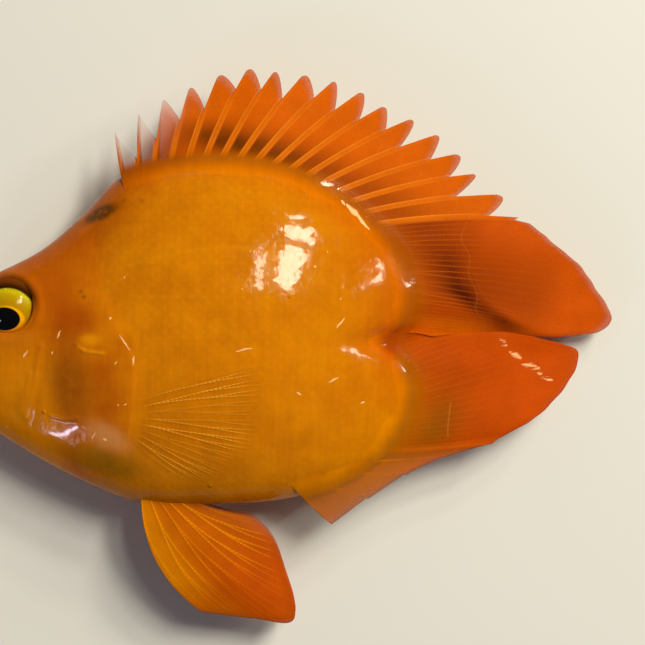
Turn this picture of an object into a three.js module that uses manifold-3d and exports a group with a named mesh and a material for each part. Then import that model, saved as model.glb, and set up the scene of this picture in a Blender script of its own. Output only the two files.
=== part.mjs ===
// A life-size model of a heart-shaped blood parrot cichlid, young and tailless, lying on its right side.
// Units are millimetres and +Z is up. The snout points to -X, the back to +Y and the left flank up.
// The origin is on the surface that the fish rests on, under the middle of its body.
import * as THREE from "three";
import { mergeVertices } from "three/addons/utils/BufferGeometryUtils.js";
import Module from "manifold-3d";

const wasm = await Module();
wasm.setup();

// Driving dimensions
const snoutX = -31.0; // front of the head, without the lips
const backY = 20.1; // highest point of the back
const bellyY = -19.4; // lowest point of the belly
const notchX = 22.5; // notch of the heart, where a tail would grow
const lobeX = 25.3; // rear of the two lobes beside the notch
const halfWidth = 8.7; // half the thickness of the body at its widest
const pressedFlat = 0.3; // how far the flank is flattened where it rests
const widestX = 2.0; // station of the widest section
const snoutTaper = 0.54; // share of the width that is lost at the snout
const tailTaper = 0.38; // share of the width that is lost at the lobes
const sideFullness = 2.2; // 2 is an ellipse across the body, more is fuller
const snoutFullness = 4.5; // the same at the snout, which is blunt
const edgeFullness = 2.1; // 2 is an ellipse at the rim, more is blunter
const bluntFrom = 22.0; // the snout's bluntness sets in this far in front of the middle
const bluntTo = 32.0; // and is full here
const seam = 0.3; // gap that touching pieces keep
const membrane = 0.5; // thickness of a fin between its rays
const marginShare = 0.8; // thickness of a fin at its margin, as a share of the membrane
const farAway = 60; // beyond the fish on every side
const midZ = halfWidth - pressedFlat; // height of the plane that halves the fish

// Outline of the body, from the snout over the back, round the heart's notch and forwards along the belly
const bodyOutline = [
  [snoutX, -1.5], // snout
  [-30.0, 1.5],
  [-26.5, 4.6],
  [-21.9, 7.2], // over the eye
  [-16.7, 10.0],
  [-12.1, 14.0], // nape
  [-7.6, 18.4],
  [-1.5, backY - 0.2], // front of the dorsal fin
  [5.8, backY],
  [12.6, 18.5],
  [18.4, 15.3],
  [23.0, 10.8],
  [lobeX, 5.6], // upper lobe
  [24.6, 1.8],
  [notchX, -0.8], // notch
  [24.6, -3.2],
  [lobeX + 0.2, -6.9], // lower lobe
  [24.1, -11.0],
  [20.0, -15.3],
  [12.7, -18.5], // front of the anal fin
  [3.5, bellyY],
  [-5.2, bellyY + 0.1], // root of the pelvic fins
  [-12.0, -16.9],
  [-18.4, -13.5], // throat
  [-24.2, -9.7],
  [-28.6, -6.0],
  [-30.5, -3.6], // chin
];

const outlineCurve = new THREE.CatmullRomCurve3(
  bodyOutline.map(([x, y]) => new THREE.Vector3(x, y, 0)),
  true,
  "catmullrom",
  0.5,
);

// Solids

// A manifold-3d solid from a closed three.js geometry.
const weld = 1e-4; // points closer than this are one
function solid(geometry) {
  const plain = geometry.index ? geometry.toNonIndexed() : geometry.clone();
  plain.deleteAttribute("normal");
  plain.deleteAttribute("uv");
  const merged = mergeVertices(plain, weld);
  return new wasm.Manifold(
    new wasm.Mesh({
      numProp: 3,
      vertProperties: merged.attributes.position.array,
      triVerts: new Uint32Array(merged.index.array),
    }),
  );
}

// The largest closed surface of a solid, which drops scraps that a cut leaves.
function largest(made) {
  return made.decompose().sort((a, b) => b.volume() - a.volume())[0];
}

// A three.js geometry from a manifold-3d solid.
function geometryOf(made) {
  const mesh = made.getMesh();
  const geometry = new THREE.BufferGeometry();
  geometry.setAttribute("position", new THREE.BufferAttribute(mesh.vertProperties, 3));
  geometry.setIndex(new THREE.BufferAttribute(mesh.triVerts, 1));
  geometry.computeVertexNormals();
  return geometry;
}

// An indexed geometry from points and triangles of point numbers, turned to face outwards.
function geometryFrom(points, triangles) {
  const corners = triangles.map((face) => face.map((i) => new THREE.Vector3(...points[i])));
  const volume = corners.reduce((sum, [a, b, c]) => sum + a.dot(b.cross(c)), 0);
  const facing = volume < 0 ? triangles.map((face) => [...face].reverse()) : triangles;
  const geometry = new THREE.BufferGeometry();
  geometry.setAttribute("position", new THREE.Float32BufferAttribute(points.flat(), 3));
  geometry.setIndex(facing.flat());
  return geometry;
}

// Share of the greatest width that the body has at a station x.
function widthShare(x) {
  const taper = x < widestX ? snoutTaper : tailTaper;
  const reach = x < widestX ? widestX - snoutX : lobeX - widestX;
  return 1 - taper * ((x - widestX) / reach) ** 2;
}

// Half thickness of the body at x, where t runs from 0 at the middle of the flank to 1 at the outline.
function halfThickness(x, t) {
  const blunt = THREE.MathUtils.smoothstep(-x, bluntFrom, bluntTo);
  const fullness = THREE.MathUtils.lerp(sideFullness, snoutFullness, blunt);
  return halfWidth * widthShare(x) * (1 - Math.min(t, 1) ** fullness) ** (1 / edgeFullness);
}

// The outline as evenly spaced points, moved outwards by grow.
function outlinePoints(count, grow) {
  return outlineCurve.getSpacedPoints(count).slice(0, count).map((point, i, all) => {
    const before = all[(i + count - 1) % count];
    const after = all[(i + 1) % count];
    const tangent = new THREE.Vector2(after.x - before.x, after.y - before.y).normalize();
    return [point.x - tangent.y * grow, point.y + tangent.x * grow];
  });
}

// Distance from the middle of the flank to the outline, in the direction of a point.
const rimTable = outlinePoints(360, 0)
  .map(([x, y]) => ({ angle: Math.atan2(y, x), radius: Math.hypot(x, y) }))
  .sort((a, b) => a.angle - b.angle);
function rimRadius(x, y) {
  const angle = Math.atan2(y, x);
  const after = rimTable.findIndex((entry) => entry.angle > angle);
  if (after < 1) return rimTable[0].radius;
  const [low, high] = [rimTable[after - 1], rimTable[after]];
  return THREE.MathUtils.mapLinear(angle, low.angle, high.angle, low.radius, high.radius);
}

// Share t of the way from the middle of the flank to the outline, for a point on the flank.
function rimShare(x, y) {
  return Math.hypot(x, y) / rimRadius(x, y);
}

// The whole body as rings from the middle of each flank out to the outline, grown by some millimetres.
function bodyGeometry(grow, around = 72, rings = 8) {
  const rim = outlinePoints(around, grow);
  const points = [[0, 0, midZ + halfWidth + grow], [0, 0, midZ - halfWidth - grow]];
  const triangles = [];
  const at = (side, ring, i) => {
    const turn = i % around;
    if (ring === rings) return 2 + turn;
    return 2 + around + (side * (rings - 1) + ring - 1) * around + turn;
  };
  rim.forEach(([x, y]) => points.push([x, y, midZ]));
  for (const side of [0, 1]) {
    const up = side ? -1 : 1;
    for (let ring = 1; ring < rings; ring++) {
      const t = Math.sin((ring / rings) * (Math.PI / 2));
      const rounding = Math.sqrt(1 - t * t);
      rim.forEach(([x, y]) => {
        const high = halfThickness(x * t, t) + grow * rounding;
        points.push([x * t, y * t, midZ + up * high]);
      });
    }
    for (let i = 0; i < around; i++) {
      const cap = [side, at(side, 1, i + 1), at(side, 1, i)];
      triangles.push(side ? cap.reverse() : cap);
      for (let ring = 1; ring < rings; ring++) {
        const [a, b] = [at(side, ring, i), at(side, ring, i + 1)];
        const [c, d] = [at(side, ring + 1, i + 1), at(side, ring + 1, i)];
        const pair = [[a, b, c], [a, c, d]];
        pair.forEach((face) => triangles.push(side ? [...face].reverse() : face));
      }
    }
  }
  return geometryFrom(points, triangles);
}

// A closed sheet from a grid of [x, y, z, h]: its two faces lie h above and below z, split alike.
function sheetGeometry(grid) {
  const columns = grid.length;
  const rows = grid[0].length;
  const points = [];
  const triangles = [];
  for (const side of [1, -1]) {
    grid.forEach((column) => column.forEach(([x, y, z, h]) => points.push([x, y, z + side * h])));
  }
  const top = (c, r) => c * rows + r;
  const under = (c, r) => columns * rows + top(c, r);
  for (let c = 0; c < columns - 1; c++) {
    for (let r = 0; r < rows - 1; r++) {
      const quad = [[c, r], [c + 1, r], [c + 1, r + 1], [c, r + 1]];
      const [a, b, d, e] = quad.map(([i, j]) => top(i, j));
      const [f, g, h, k] = quad.map(([i, j]) => under(i, j));
      triangles.push([a, b, d], [a, d, e], [f, h, g], [f, k, h]);
    }
  }
  const rim = [];
  for (let c = 0; c < columns - 1; c++) rim.push([c, 0]);
  for (let r = 0; r < rows - 1; r++) rim.push([columns - 1, r]);
  for (let c = columns - 1; c > 0; c--) rim.push([c, rows - 1]);
  for (let r = rows - 1; r > 0; r--) rim.push([0, r]);
  rim.forEach((spot, i) => {
    const next = rim[(i + 1) % rim.length];
    const [a, b] = [top(...spot), top(...next)];
    const [c, d] = [under(...next), under(...spot)];
    triangles.push([a, d, c], [a, c, b]);
  });
  return geometryFrom(points, triangles);
}

// A closed round tube along a nearly level path, with a radius at each point.
function tubeGeometry(path, radii, sides = 8) {
  const points = [];
  const triangles = [];
  const level = new THREE.Vector3(0, 1, 0);
  path.forEach((centre, i) => {
    const ahead = path[Math.min(i + 1, path.length - 1)];
    const behind = path[Math.max(i - 1, 0)];
    const across = new THREE.Vector3().subVectors(ahead, behind).cross(level).normalize();
    for (let k = 0; k < sides; k++) {
      const turn = (k / sides) * 2 * Math.PI;
      const spot = centre.clone().addScaledVector(across, radii[i] * Math.cos(turn));
      spot.y += radii[i] * Math.sin(turn);
      points.push(spot.toArray());
    }
  });
  for (let i = 0; i < path.length - 1; i++) {
    for (let k = 0; k < sides; k++) {
      const next = (k + 1) % sides;
      const [a, b] = [i * sides + k, i * sides + next];
      triangles.push([a, b, b + sides], [a, b + sides, a + sides]);
    }
  }
  const last = (path.length - 1) * sides;
  points.push(path[0].toArray(), path[path.length - 1].toArray());
  for (let k = 0; k < sides; k++) {
    const next = (k + 1) % sides;
    triangles.push([points.length - 2, next, k], [points.length - 1, last + k, last + next]);
  }
  return geometryFrom(points, triangles);
}

// An upright slab of a flat outline between two heights.
function slab(outline, low, high) {
  const shape = new THREE.Shape(outline.map(([x, y]) => new THREE.Vector2(x, y)));
  const geometry = new THREE.ExtrudeGeometry(shape, { depth: high - low, bevelEnabled: false });
  return solid(geometry.translate(0, 0, low));
}

// An upright slab between two stations, each a function that gives x at a height y on the flank.
const cutReach = 24; // beyond the back, the belly and both flanks
const cutStep = 4;
function between(lowX, highX) {
  const outline = [];
  for (let y = -cutReach; y <= cutReach; y += cutStep) outline.push([highX(y), y]);
  for (let y = cutReach; y >= -cutReach; y -= cutStep) outline.push([lowX(y), y]);
  return slab(outline, -cutReach, cutReach);
}

// Fins

// A ray from its root to its tip, bowed sideways at the middle by bow.
function rayAt(ray, v) {
  const [dx, dy] = [ray.tip[0] - ray.root[0], ray.tip[1] - ray.root[1]];
  const bulge = (ray.bow * 4 * v * (1 - v)) / Math.hypot(dx, dy);
  return [ray.root[0] + dx * v - dy * bulge, ray.root[1] + dy * v + dx * bulge];
}

// Rays with their roots spread along one curve and their tips along another.
function fan({ count, rootAt, margin, bow }) {
  const marginCurve = new THREE.SplineCurve(margin.map(([x, y]) => new THREE.Vector2(x, y)));
  return Array.from({ length: count }, (_, i) => {
    const share = i / (count - 1);
    return {
      root: rootAt(share),
      tip: marginCurve.getPointAt(share).toArray(),
      bow: THREE.MathUtils.lerp(...bow, share),
    };
  });
}

// How far out the membrane reaches at share s of the way from one ray to the next.
const lappetCurve = 1.3; // 1 is a straight edge, more is rounder
function membraneReach(s, notch) {
  return s === 0 ? 1 : 1 - notch * s ** lappetCurve;
}

// A fin as one sheet over its rays. Each ray stands out from the membrane and thins to its tip.
const finRows = [0, 0.1, 0.3, 0.62, 1];
const fleshyTo = 0.25; // share of a ray's length along which the fin's root is fleshy
const fleshyCurve = 1.5; // 1 is a straight wedge, more is hollower
function finSolid({ rays, shares, notch, rootHalf, ridge, heightAt }) {
  const grid = [];
  rays.forEach((ray, i) => {
    const next = rays[i + 1] ?? ray;
    const columns = rays[i + 1] ? shares : [0];
    columns.forEach((s) => {
      grid.push(finRows.map((row) => {
        const v = row * membraneReach(s, notch);
        const [ax, ay] = rayAt(ray, v);
        const [bx, by] = rayAt(next, v);
        const [x, y] = [THREE.MathUtils.lerp(ax, bx, s), THREE.MathUtils.lerp(ay, by, s)];
        const web = (membrane / 2) * THREE.MathUtils.lerp(1, marginShare, v);
        const raised = s === 0 ? ridge * (1 - v) : 0;
        const fleshy = rootHalf * Math.max(0, 1 - v / fleshyTo) ** fleshyCurve;
        return [x, y, heightAt((i + s) / (rays.length - 1), v, x, y), web + raised + fleshy];
      }));
    });
  });
  return clearOfBody(solid(sheetGeometry(grid)));
}
const spinyShares = [0, 0.16, 0.5, 0.84]; // columns of the sheet from one spine to the next
const softShares = [0, 0.22, 0.78];

const aloft = solid(bodyGeometry(seam));
function clearOfBody(made) {
  return largest(made.subtract(aloft));
}

// Roots that slide along the body's outline between two shares of its length, sunk into the flesh.
const rootDepth = 1.4;
function rootOnOutline(from, to) {
  return (share) => {
    const spot = outlineCurve.getPointAt(THREE.MathUtils.lerp(from, to, share));
    const inward = 1 - rootDepth / Math.hypot(spot.x, spot.y);
    return [spot.x * inward, spot.y * inward];
  };
}

// A fin on the midline droops as it leaves the body, and ripples a little.
const sag = { away: 20, droop: 3.2, curve: 1.6 }; // how far it has drooped at this distance from the body
const liftWithin = 2; // a fin that passes under or over another has left its level at this distance
function midlineHeight({ ripples, ripple, lift }) {
  return (share, v, x, y) => {
    const away = Math.max(0, Math.hypot(x, y) - rimRadius(x, y));
    const wave = ripple * v * Math.sin(share * ripples * 2 * Math.PI);
    const lifted = lift * Math.min(1, away / liftWithin) * share ** 3;
    return midZ - sag.droop * (away / sag.away) ** sag.curve + wave + lifted;
  };
}

// Dorsal fin: flame-shaped lappets behind each spine, then a round soft lobe that trails past the body.
const dorsalSpiny = finSolid({
  rays: fan({
    count: 16,
    rootAt: rootOnOutline(0.2, 0.398),
    margin: [
      [-8.7, 23.8],
      [-1.4, 28.5],
      [6.8, 30.9],
      [14.6, 30.2],
      [25.0, 25.8],
      [33.8, 18.9],
      [36.8, 15.6],
    ],
    bow: [0.2, 0.7],
  }),
  shares: spinyShares,
  notch: 0.32,
  rootHalf: 0.5,
  ridge: 0.28,
  heightAt: midlineHeight({ ripples: 3, ripple: 0.3, lift: 0 }),
});
const dorsalSoft = finSolid({
  rays: fan({
    count: 11,
    rootAt: rootOnOutline(0.403, 0.5),
    margin: [
      [38.0, 15.1],
      [42.2, 12.0],
      [46.2, 8.1],
      [48.7, 4.2],
      [49.1, 1.6],
      [46.9, 0.0],
      [37.6, 0.0],
      [29.2, -0.2],
    ],
    bow: [0.7, 1.0],
  }),
  shares: softShares,
  notch: 0.03,
  rootHalf: 0.9,
  ridge: 0.2,
  heightAt: midlineHeight({ ripples: 2, ripple: 0.25, lift: -1.2 }),
});

// Anal fin: short folded spines under the belly, then a soft lobe that laps over the dorsal fin's rear.
const analSpiny = finSolid({
  rays: fan({
    count: 5,
    rootAt: rootOnOutline(0.674, 0.617),
    margin: [[16.3, -21.8], [20.7, -18.7], [25.8, -15.6], [30.6, -13.7], [34.8, -12.6]],
    bow: [-0.2, -0.3],
  }),
  shares: spinyShares,
  notch: 0.32,
  rootHalf: 0.6,
  ridge: 0.26,
  heightAt: midlineHeight({ ripples: 1, ripple: 0.3, lift: 0 }),
});
const analSoft = finSolid({
  rays: fan({
    count: 9,
    rootAt: rootOnOutline(0.612, 0.52),
    margin: [
      [36.4, -11.6],
      [41.0, -8.9],
      [44.0, -5.4],
      [45.4, -1.9],
      [41.4, -0.6],
      [35.8, 0.4],
      [28.2, -0.3],
    ],
    bow: [-0.3, 0.9],
  }),
  shares: softShares,
  notch: 0.03,
  rootHalf: 0.9,
  ridge: 0.2,
  heightAt: midlineHeight({ ripples: 2, ripple: 0.2, lift: 0.5 }),
});

// Pelvic fins: a strong leading spine that bows forward, and rays that fan back under the belly.
const pelvicRoot = { front: [-5.4, -17.6], rear: [-2.0, -17.9] };
const pelvicApart = 1.9; // how far each pelvic fin stands from the midline at its root
const pelvicClosing = 0.35; // share of this that is gone at the tips
const pelvicDroop = { left: 1.6, right: 2.6 };
function pelvicFin(side) {
  const droop = side > 0 ? pelvicDroop.left : pelvicDroop.right;
  const { front, rear } = pelvicRoot;
  return finSolid({
    rays: fan({
      count: 6,
      rootAt: (share) => front.map((from, k) => THREE.MathUtils.lerp(from, rear[k], share)),
      margin: [[1.3, -31.9], [6.8, -32.7], [12.0, -33.0], [11.3, -28.3], [9.6, -23.4], [7.1, -20.9]],
      bow: [-2.1, -0.3],
    }),
    shares: spinyShares,
    notch: 0.06,
    rootHalf: 0.5,
    ridge: 0.25,
    heightAt: (share, v) => midZ + side * pelvicApart * (1 - pelvicClosing * v) - droop * v ** 2,
  });
}

// Pectoral fins: clear fans that lie along the flank behind the gill cover. The right one is nearly shut.
const openPectoral = { root: [-6.5, -9.6], rootHeight: 3.4, top: 22, bottom: -46 };
const shutPectoral = { root: [-6.5, -10.5], rootHeight: 2.4, top: -22, bottom: -44 };
const pectoralRay = 17.3; // length of the longest ray
const pectoralShorter = 7.0; // how much shorter the lowest ray is
const pectoralBow = 0.4;
const pectoralSunk = 1.2; // depth of the root in the flesh
const pectoralAir = 0.1; // between the fin and the skin, beyond the seam
const pectoralOver = 0.85; // share of the way to the outline past which the fin sinks no further
function pectoralFin(side) {
  const { root, rootHeight, top, bottom } = side > 0 ? openPectoral : shutPectoral;
  const rayCount = 9;
  const rays = Array.from({ length: rayCount }, (_, i) => {
    const share = i / (rayCount - 1);
    const turn = THREE.MathUtils.degToRad(THREE.MathUtils.lerp(top, bottom, share));
    const length = pectoralRay - pectoralShorter * share ** 2;
    const start = [root[0], root[1] + rootHeight * (0.5 - share)];
    const tip = [root[0] + length * Math.cos(turn), root[1] + length * Math.sin(turn)];
    return { root: start, tip, bow: THREE.MathUtils.lerp(pectoralBow, -pectoralBow, share) };
  });
  const clear = seam + membrane / 2 + pectoralAir;
  return finSolid({
    rays,
    shares: softShares,
    notch: 0.04,
    rootHalf: 0,
    ridge: 0.08,
    heightAt: (share, v, x, y) => {
      const skin = halfThickness(x, Math.min(rimShare(x, y), pectoralOver));
      return midZ + side * (skin + (v === 0 ? -pectoralSunk : clear));
    },
  });
}

// Head

// Eyes: flattened balls, turned to follow the narrowing of the head.
const eyeCentre = [-20.4, 3.2];
const eyeRadius = 3.3;
const eyeDepth = 2.3; // half of the ball from front to back
const eyeOut = 3.5; // from the midline to the middle of the ball
const eyeTurn = 0.2; // radians that the eye looks forward
const eyeFacets = [18, 11];
function eyeball(side, grow) {
  const geometry = new THREE.SphereGeometry(1, ...eyeFacets).rotateX(Math.PI / 2);
  geometry.scale(eyeRadius + grow, eyeRadius + grow, eyeDepth + grow);
  geometry.rotateY(-side * eyeTurn);
  return solid(geometry.translate(...eyeCentre, midZ + side * eyeOut));
}

// Lips: two soft rolls round the front of the beak-like mouth, and the gape between them.
const lipStations = 11;
const lipSweep = 1.75; // radians from the front of the mouth to each corner
const lipThinning = 0.45; // share of a lip's radius that is gone at the corners
const upperLip = { y: -0.4, front: -30.7, depth: 1.8, half: 2.0, radius: 1.0, droop: -0.6 };
const lowerLip = { y: -2.95, front: -30.3, depth: 1.6, half: 1.8, radius: 0.95, droop: 0.35 };
const gape = { y: -1.65, front: -31.0, depth: 1.5, half: 1.6, radius: 0.6, droop: 0 };
function lip({ y, front, depth, half, radius, droop }, grow = 0) {
  const path = [];
  const radii = [];
  for (let i = 0; i < lipStations; i++) {
    const turn = THREE.MathUtils.lerp(-lipSweep, lipSweep, i / (lipStations - 1));
    const back = 1 - Math.cos(turn);
    path.push(new THREE.Vector3(front + depth * back, y + droop * back, midZ + half * Math.sin(turn)));
    radii.push(radius * (1 - lipThinning * (turn / lipSweep) ** 2) + grow);
  }
  return solid(tubeGeometry(path, radii));
}

// Gill covers: plates that stand a little proud of the cheek and lap over the shoulder.
const gillOutline = [
  [-14.7, 1.4],
  [-16.8, -4.6],
  [-16.9, -9.8],
  [-14.0, -13.6],
  [-10.2, -14.8],
  [-7.1, -12.4],
  [-6.3, -8.4],
  [-6.0, -3.4],
  [-7.5, 0.3],
  [-9.3, 3.3],
  [-12.2, 3.9],
];
const gillPoints = 26;
const gillProud = 0.25; // how far the cover stands out from the cheek
const gillThick = 1.1;
const gillClear = 2; // the cut for a cover's recess starts this far out
const gillInside = 1; // and no cover comes nearer to the midline than this
const gillCorners = gillOutline.map(([x, y]) => new THREE.Vector3(x, y, 0));
const gillCurve = new THREE.CatmullRomCurve3(gillCorners, true);
const gillMiddle = new THREE.Vector3(-11.5, -5.6, 0);
function gillPlate(side, grow, inner, outer) {
  const outline = gillCurve.getSpacedPoints(gillPoints).slice(0, gillPoints).map((point) => {
    const away = point.clone().sub(gillMiddle);
    return away.setLength(away.length() + grow).add(gillMiddle).toArray();
  });
  const [low, high] = side > 0 ? [midZ + gillInside, farAway] : [-farAway, midZ - gillInside];
  const upright = slab(outline, low, high);
  return solid(bodyGeometry(outer)).subtract(solid(bodyGeometry(inner))).intersect(upright);
}

// Nostrils: one shallow pit on each side of the snout.
const nostril = [-26.0, 3.2];
const nostrilRadius = 0.5;
const nostrilFacets = [10, 8];
function nostrilPit(side) {
  const surface = halfThickness(nostril[0], rimShare(...nostril));
  const pit = new THREE.SphereGeometry(nostrilRadius, ...nostrilFacets);
  return solid(pit.translate(...nostril, midZ + side * surface));
}

// Body, parted under the gill covers and in front of the heart's lobes, and flat where it rests
const shoulder = { x: -9.8, y: -4, curve: 0.01 };
const hind = { x: 13.2, y: 0, curve: 0.006 };
const shoulderX = (y) => shoulder.x - shoulder.curve * (y - shoulder.y) ** 2;
const hindX = (y) => hind.x + hind.curve * (y - hind.y) ** 2;
const corners = [[-farAway, -farAway], [farAway, -farAway], [farAway, farAway], [-farAway, farAway]];
const hollows = [slab(corners, -farAway, 0), lip(upperLip, seam), lip(lowerLip, seam), lip(gape)];
for (const side of [1, -1]) {
  hollows.push(eyeball(side, seam), nostrilPit(side));
  hollows.push(gillPlate(side, seam, gillProud - gillThick - seam, gillClear));
}
const flesh = hollows.reduce((rest, hollow) => rest.subtract(hollow), solid(bodyGeometry(0)));
function fleshBetween(lowX, highX) {
  return largest(flesh.intersect(between(lowX, highX)));
}

// Materials
function finish(color, roughness, opacity = 1) {
  const transparent = opacity < 1;
  return new THREE.MeshStandardMaterial({ color, roughness, metalness: 0, opacity, transparent });
}
const bodySkin = finish(0xd08a12, 0.25);
const headSkin = finish(0xbf6a0c, 0.25);
const finSkin = finish(0xe0700e, 0.3);
const clearFin = finish(0xe09a20, 0.25, 0.6);
const eyeGold = finish(0xb08a10, 0.1);

// Assembly
const fish = new THREE.Group();
function add(name, made, material) {
  const mesh = new THREE.Mesh(geometryOf(made), material);
  mesh.name = name;
  fish.add(mesh);
}
add("head", fleshBetween(() => -farAway, (y) => shoulderX(y) - seam / 2), headSkin);
add("trunk", fleshBetween((y) => shoulderX(y) + seam / 2, (y) => hindX(y) - seam / 2), bodySkin);
add("hind_body", fleshBetween((y) => hindX(y) + seam / 2, () => farAway), bodySkin);
add("upper_lip", lip(upperLip), headSkin);
add("lower_lip", lip(lowerLip), headSkin);
for (const [side, name] of [[1, "left"], [-1, "right"]]) {
  add(`eye_${name}`, eyeball(side, 0), eyeGold);
  add(`gill_cover_${name}`, largest(gillPlate(side, 0, gillProud - gillThick, gillProud)), headSkin);
  add(`pectoral_fin_${name}`, pectoralFin(side), clearFin);
  add(`pelvic_fin_${name}`, pelvicFin(side), finSkin);
}
add("dorsal_fin_spiny", dorsalSpiny, finSkin);
add("dorsal_fin_soft", dorsalSoft, finSkin);
add("anal_fin_spiny", analSpiny, finSkin);
add("anal_fin_soft", analSoft, finSkin);

export default fish;
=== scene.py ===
import math
import bpy
import numpy as np
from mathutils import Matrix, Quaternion, Vector


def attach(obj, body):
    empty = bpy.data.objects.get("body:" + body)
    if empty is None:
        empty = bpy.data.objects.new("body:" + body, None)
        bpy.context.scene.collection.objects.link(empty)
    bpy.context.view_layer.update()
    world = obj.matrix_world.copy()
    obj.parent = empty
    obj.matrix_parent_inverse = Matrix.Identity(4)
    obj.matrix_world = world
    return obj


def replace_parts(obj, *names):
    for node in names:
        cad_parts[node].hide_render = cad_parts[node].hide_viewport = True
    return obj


# A young blood parrot cichlid, life size, lying on its right flank.
# Sizes are in millimetres until a mesh is made.
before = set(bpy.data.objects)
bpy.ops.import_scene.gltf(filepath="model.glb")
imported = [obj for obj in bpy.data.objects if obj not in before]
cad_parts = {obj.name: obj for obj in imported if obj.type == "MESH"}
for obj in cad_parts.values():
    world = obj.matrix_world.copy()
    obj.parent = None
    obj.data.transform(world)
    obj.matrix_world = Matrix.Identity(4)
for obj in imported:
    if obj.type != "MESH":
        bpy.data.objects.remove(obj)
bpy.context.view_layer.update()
millimetre = 0.001
randomness = np.random.default_rng(11)


def smoothstep(low, high, value):
    share = np.clip((np.asarray(value, float) - low) / (high - low), 0, 1)
    return share * share * (3 - 2 * share)


def lerp(low, high, share):
    return low + (high - low) * share


def bell(value, width):  # 1 at 0 and soft on both sides
    return np.exp(-(np.asarray(value, float) / width) ** 2)


# Shader helpers

class Wire:  # a node's socket, so that shader maths reads as Python
    def __init__(self, paint, socket):
        self.paint = paint
        self.socket = socket

    def __add__(self, other):
        return self.paint.maths("ADD", self, other)

    def __sub__(self, other):
        return self.paint.maths("SUBTRACT", self, other)

    def __rsub__(self, other):
        return self.paint.maths("SUBTRACT", other, self)

    def __mul__(self, other):
        return self.paint.maths("MULTIPLY", self, other)

    def __truediv__(self, other):
        return self.paint.maths("DIVIDE", self, other)

    def __pow__(self, other):
        return self.paint.maths("POWER", self, other)

    __radd__ = __add__
    __rmul__ = __mul__


class Paint:  # one material and the ways to add nodes to it
    def __init__(self, name):
        self.material = bpy.data.materials.new(name)
        self.material.use_nodes = True
        self.tree = self.material.node_tree
        self.tree.nodes.clear()

    def node(self, kind, settings, sockets, out=0):
        made = self.tree.nodes.new(kind)
        for name, value in settings.items():
            setattr(made, name, value)
        for name, value in sockets.items():
            if isinstance(value, Wire):
                self.tree.links.new(value.socket, made.inputs[name])
            else:
                made.inputs[name].default_value = value
        return Wire(self, made.outputs[out]) if made.outputs else made

    def maths(self, operation, *values):
        return self.node("ShaderNodeMath", {"operation": operation}, dict(enumerate(values)))

    def distance(self, value):
        return self.maths("ABSOLUTE", value)

    def between(self, value, low, high, start=0.0, end=1.0):  # smooth step from start to end
        sockets = {"Value": value, "From Min": low, "From Max": high, "To Min": start, "To Max": end}
        return self.node("ShaderNodeMapRange", {"interpolation_type": "SMOOTHSTEP"}, sockets)

    def vary(self, noise, start=0.0, end=1.0):  # spreads out a noise, which mostly lies from 0.3 to 0.7
        return self.between(noise, 0.3, 0.7, start, end)

    def blend(self, share, first, second):  # sockets 6 and 7 of a Mix node take colours, in linear values
        return self.node("ShaderNodeMix", {"data_type": "RGBA"}, {0: share, 6: first, 7: second}, out=2)

    def blendValue(self, share, first, second):  # sockets 2 and 3 take numbers
        return self.node("ShaderNodeMix", {"data_type": "FLOAT"}, {0: share, 2: first, 3: second}, out=0)

    def times(self, colour, value):
        settings = {"data_type": "RGBA", "blend_type": "MULTIPLY"}
        return self.node("ShaderNodeMix", settings, {0: 1.0, 6: colour, 7: value}, out=2)

    def tone(self, name):
        return self.node("ShaderNodeAttribute", {"attribute_name": name}, {}, out="Fac")

    def spot(self, stretch=(1.0, 1.0, 1.0)):  # the point in millimetres, scaled along each axis
        place = self.node("ShaderNodeTexCoord", {}, {}, out="Object")
        scale = tuple(each / millimetre for each in stretch)
        return self.node("ShaderNodeVectorMath", {"operation": "MULTIPLY"}, {0: place, 1: scale})

    def across(self, axis):  # one coordinate of the point in millimetres
        return self.node("ShaderNodeSeparateXYZ", {}, {"Vector": self.spot()}, out=axis)

    def awayFrom(self, centre, reach=(1.0, 1.0)):  # offsets from a point of the flank, and the distance
        dx, dy = [(self.across(axis) - start) / wide for axis, start, wide in zip("XY", centre, reach)]
        return dx, dy, (dx * dx + dy * dy) ** 0.5

    def noise(self, stretch, detail=2.0, roughness=0.5):
        sockets = {"Vector": self.spot(stretch), "Scale": 1.0, "Detail": detail, "Roughness": roughness}
        return self.node("ShaderNodeTexNoise", {}, sockets, out=0)

    def finish(self, **finishes):
        sockets = {socketNames[name]: value for name, value in finishes.items()}
        shader = self.node("ShaderNodeBsdfPrincipled", {}, sockets)
        self.node("ShaderNodeOutputMaterial", {}, {"Surface": shader})
        return self.material


socketNames = {
    "colour": "Base Color",
    "roughness": "Roughness",
    "alpha": "Alpha",
    "normal": "Normal",
    "ior": "IOR",
    "coat": "Coat Weight",
    "coatRoughness": "Coat Roughness",
    "glow": "Subsurface Weight",
    "glowRadius": "Subsurface Radius",
    "glowScale": "Subsurface Scale",
    "specular": "Specular IOR Level",
}


def srgb(red, green, blue):  # a colour as seen on screen, as linear values
    share = [each / 255 for each in (red, green, blue)]
    return (*[each / 12.92 if each <= 0.04045 else ((each + 0.055) / 1.055) ** 2.4 for each in share], 1.0)


def pieceFrom(name, points, faces, material, tones):
    mesh = bpy.data.meshes.new(name)
    mesh.from_pydata((np.asarray(points) * millimetre).tolist(), [], np.asarray(faces).tolist())
    mesh.polygons.foreach_set("use_smooth", [True] * len(mesh.polygons))
    for tone, values in tones.items():
        layer = mesh.attributes.new(tone, "FLOAT", "POINT")
        layer.data.foreach_set("value", np.asarray(values, np.float32))
    mesh.update()
    piece = bpy.data.objects.new(name, mesh)
    bpy.context.scene.collection.objects.link(piece)
    mesh.materials.append(material)
    return piece


# Body

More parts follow.
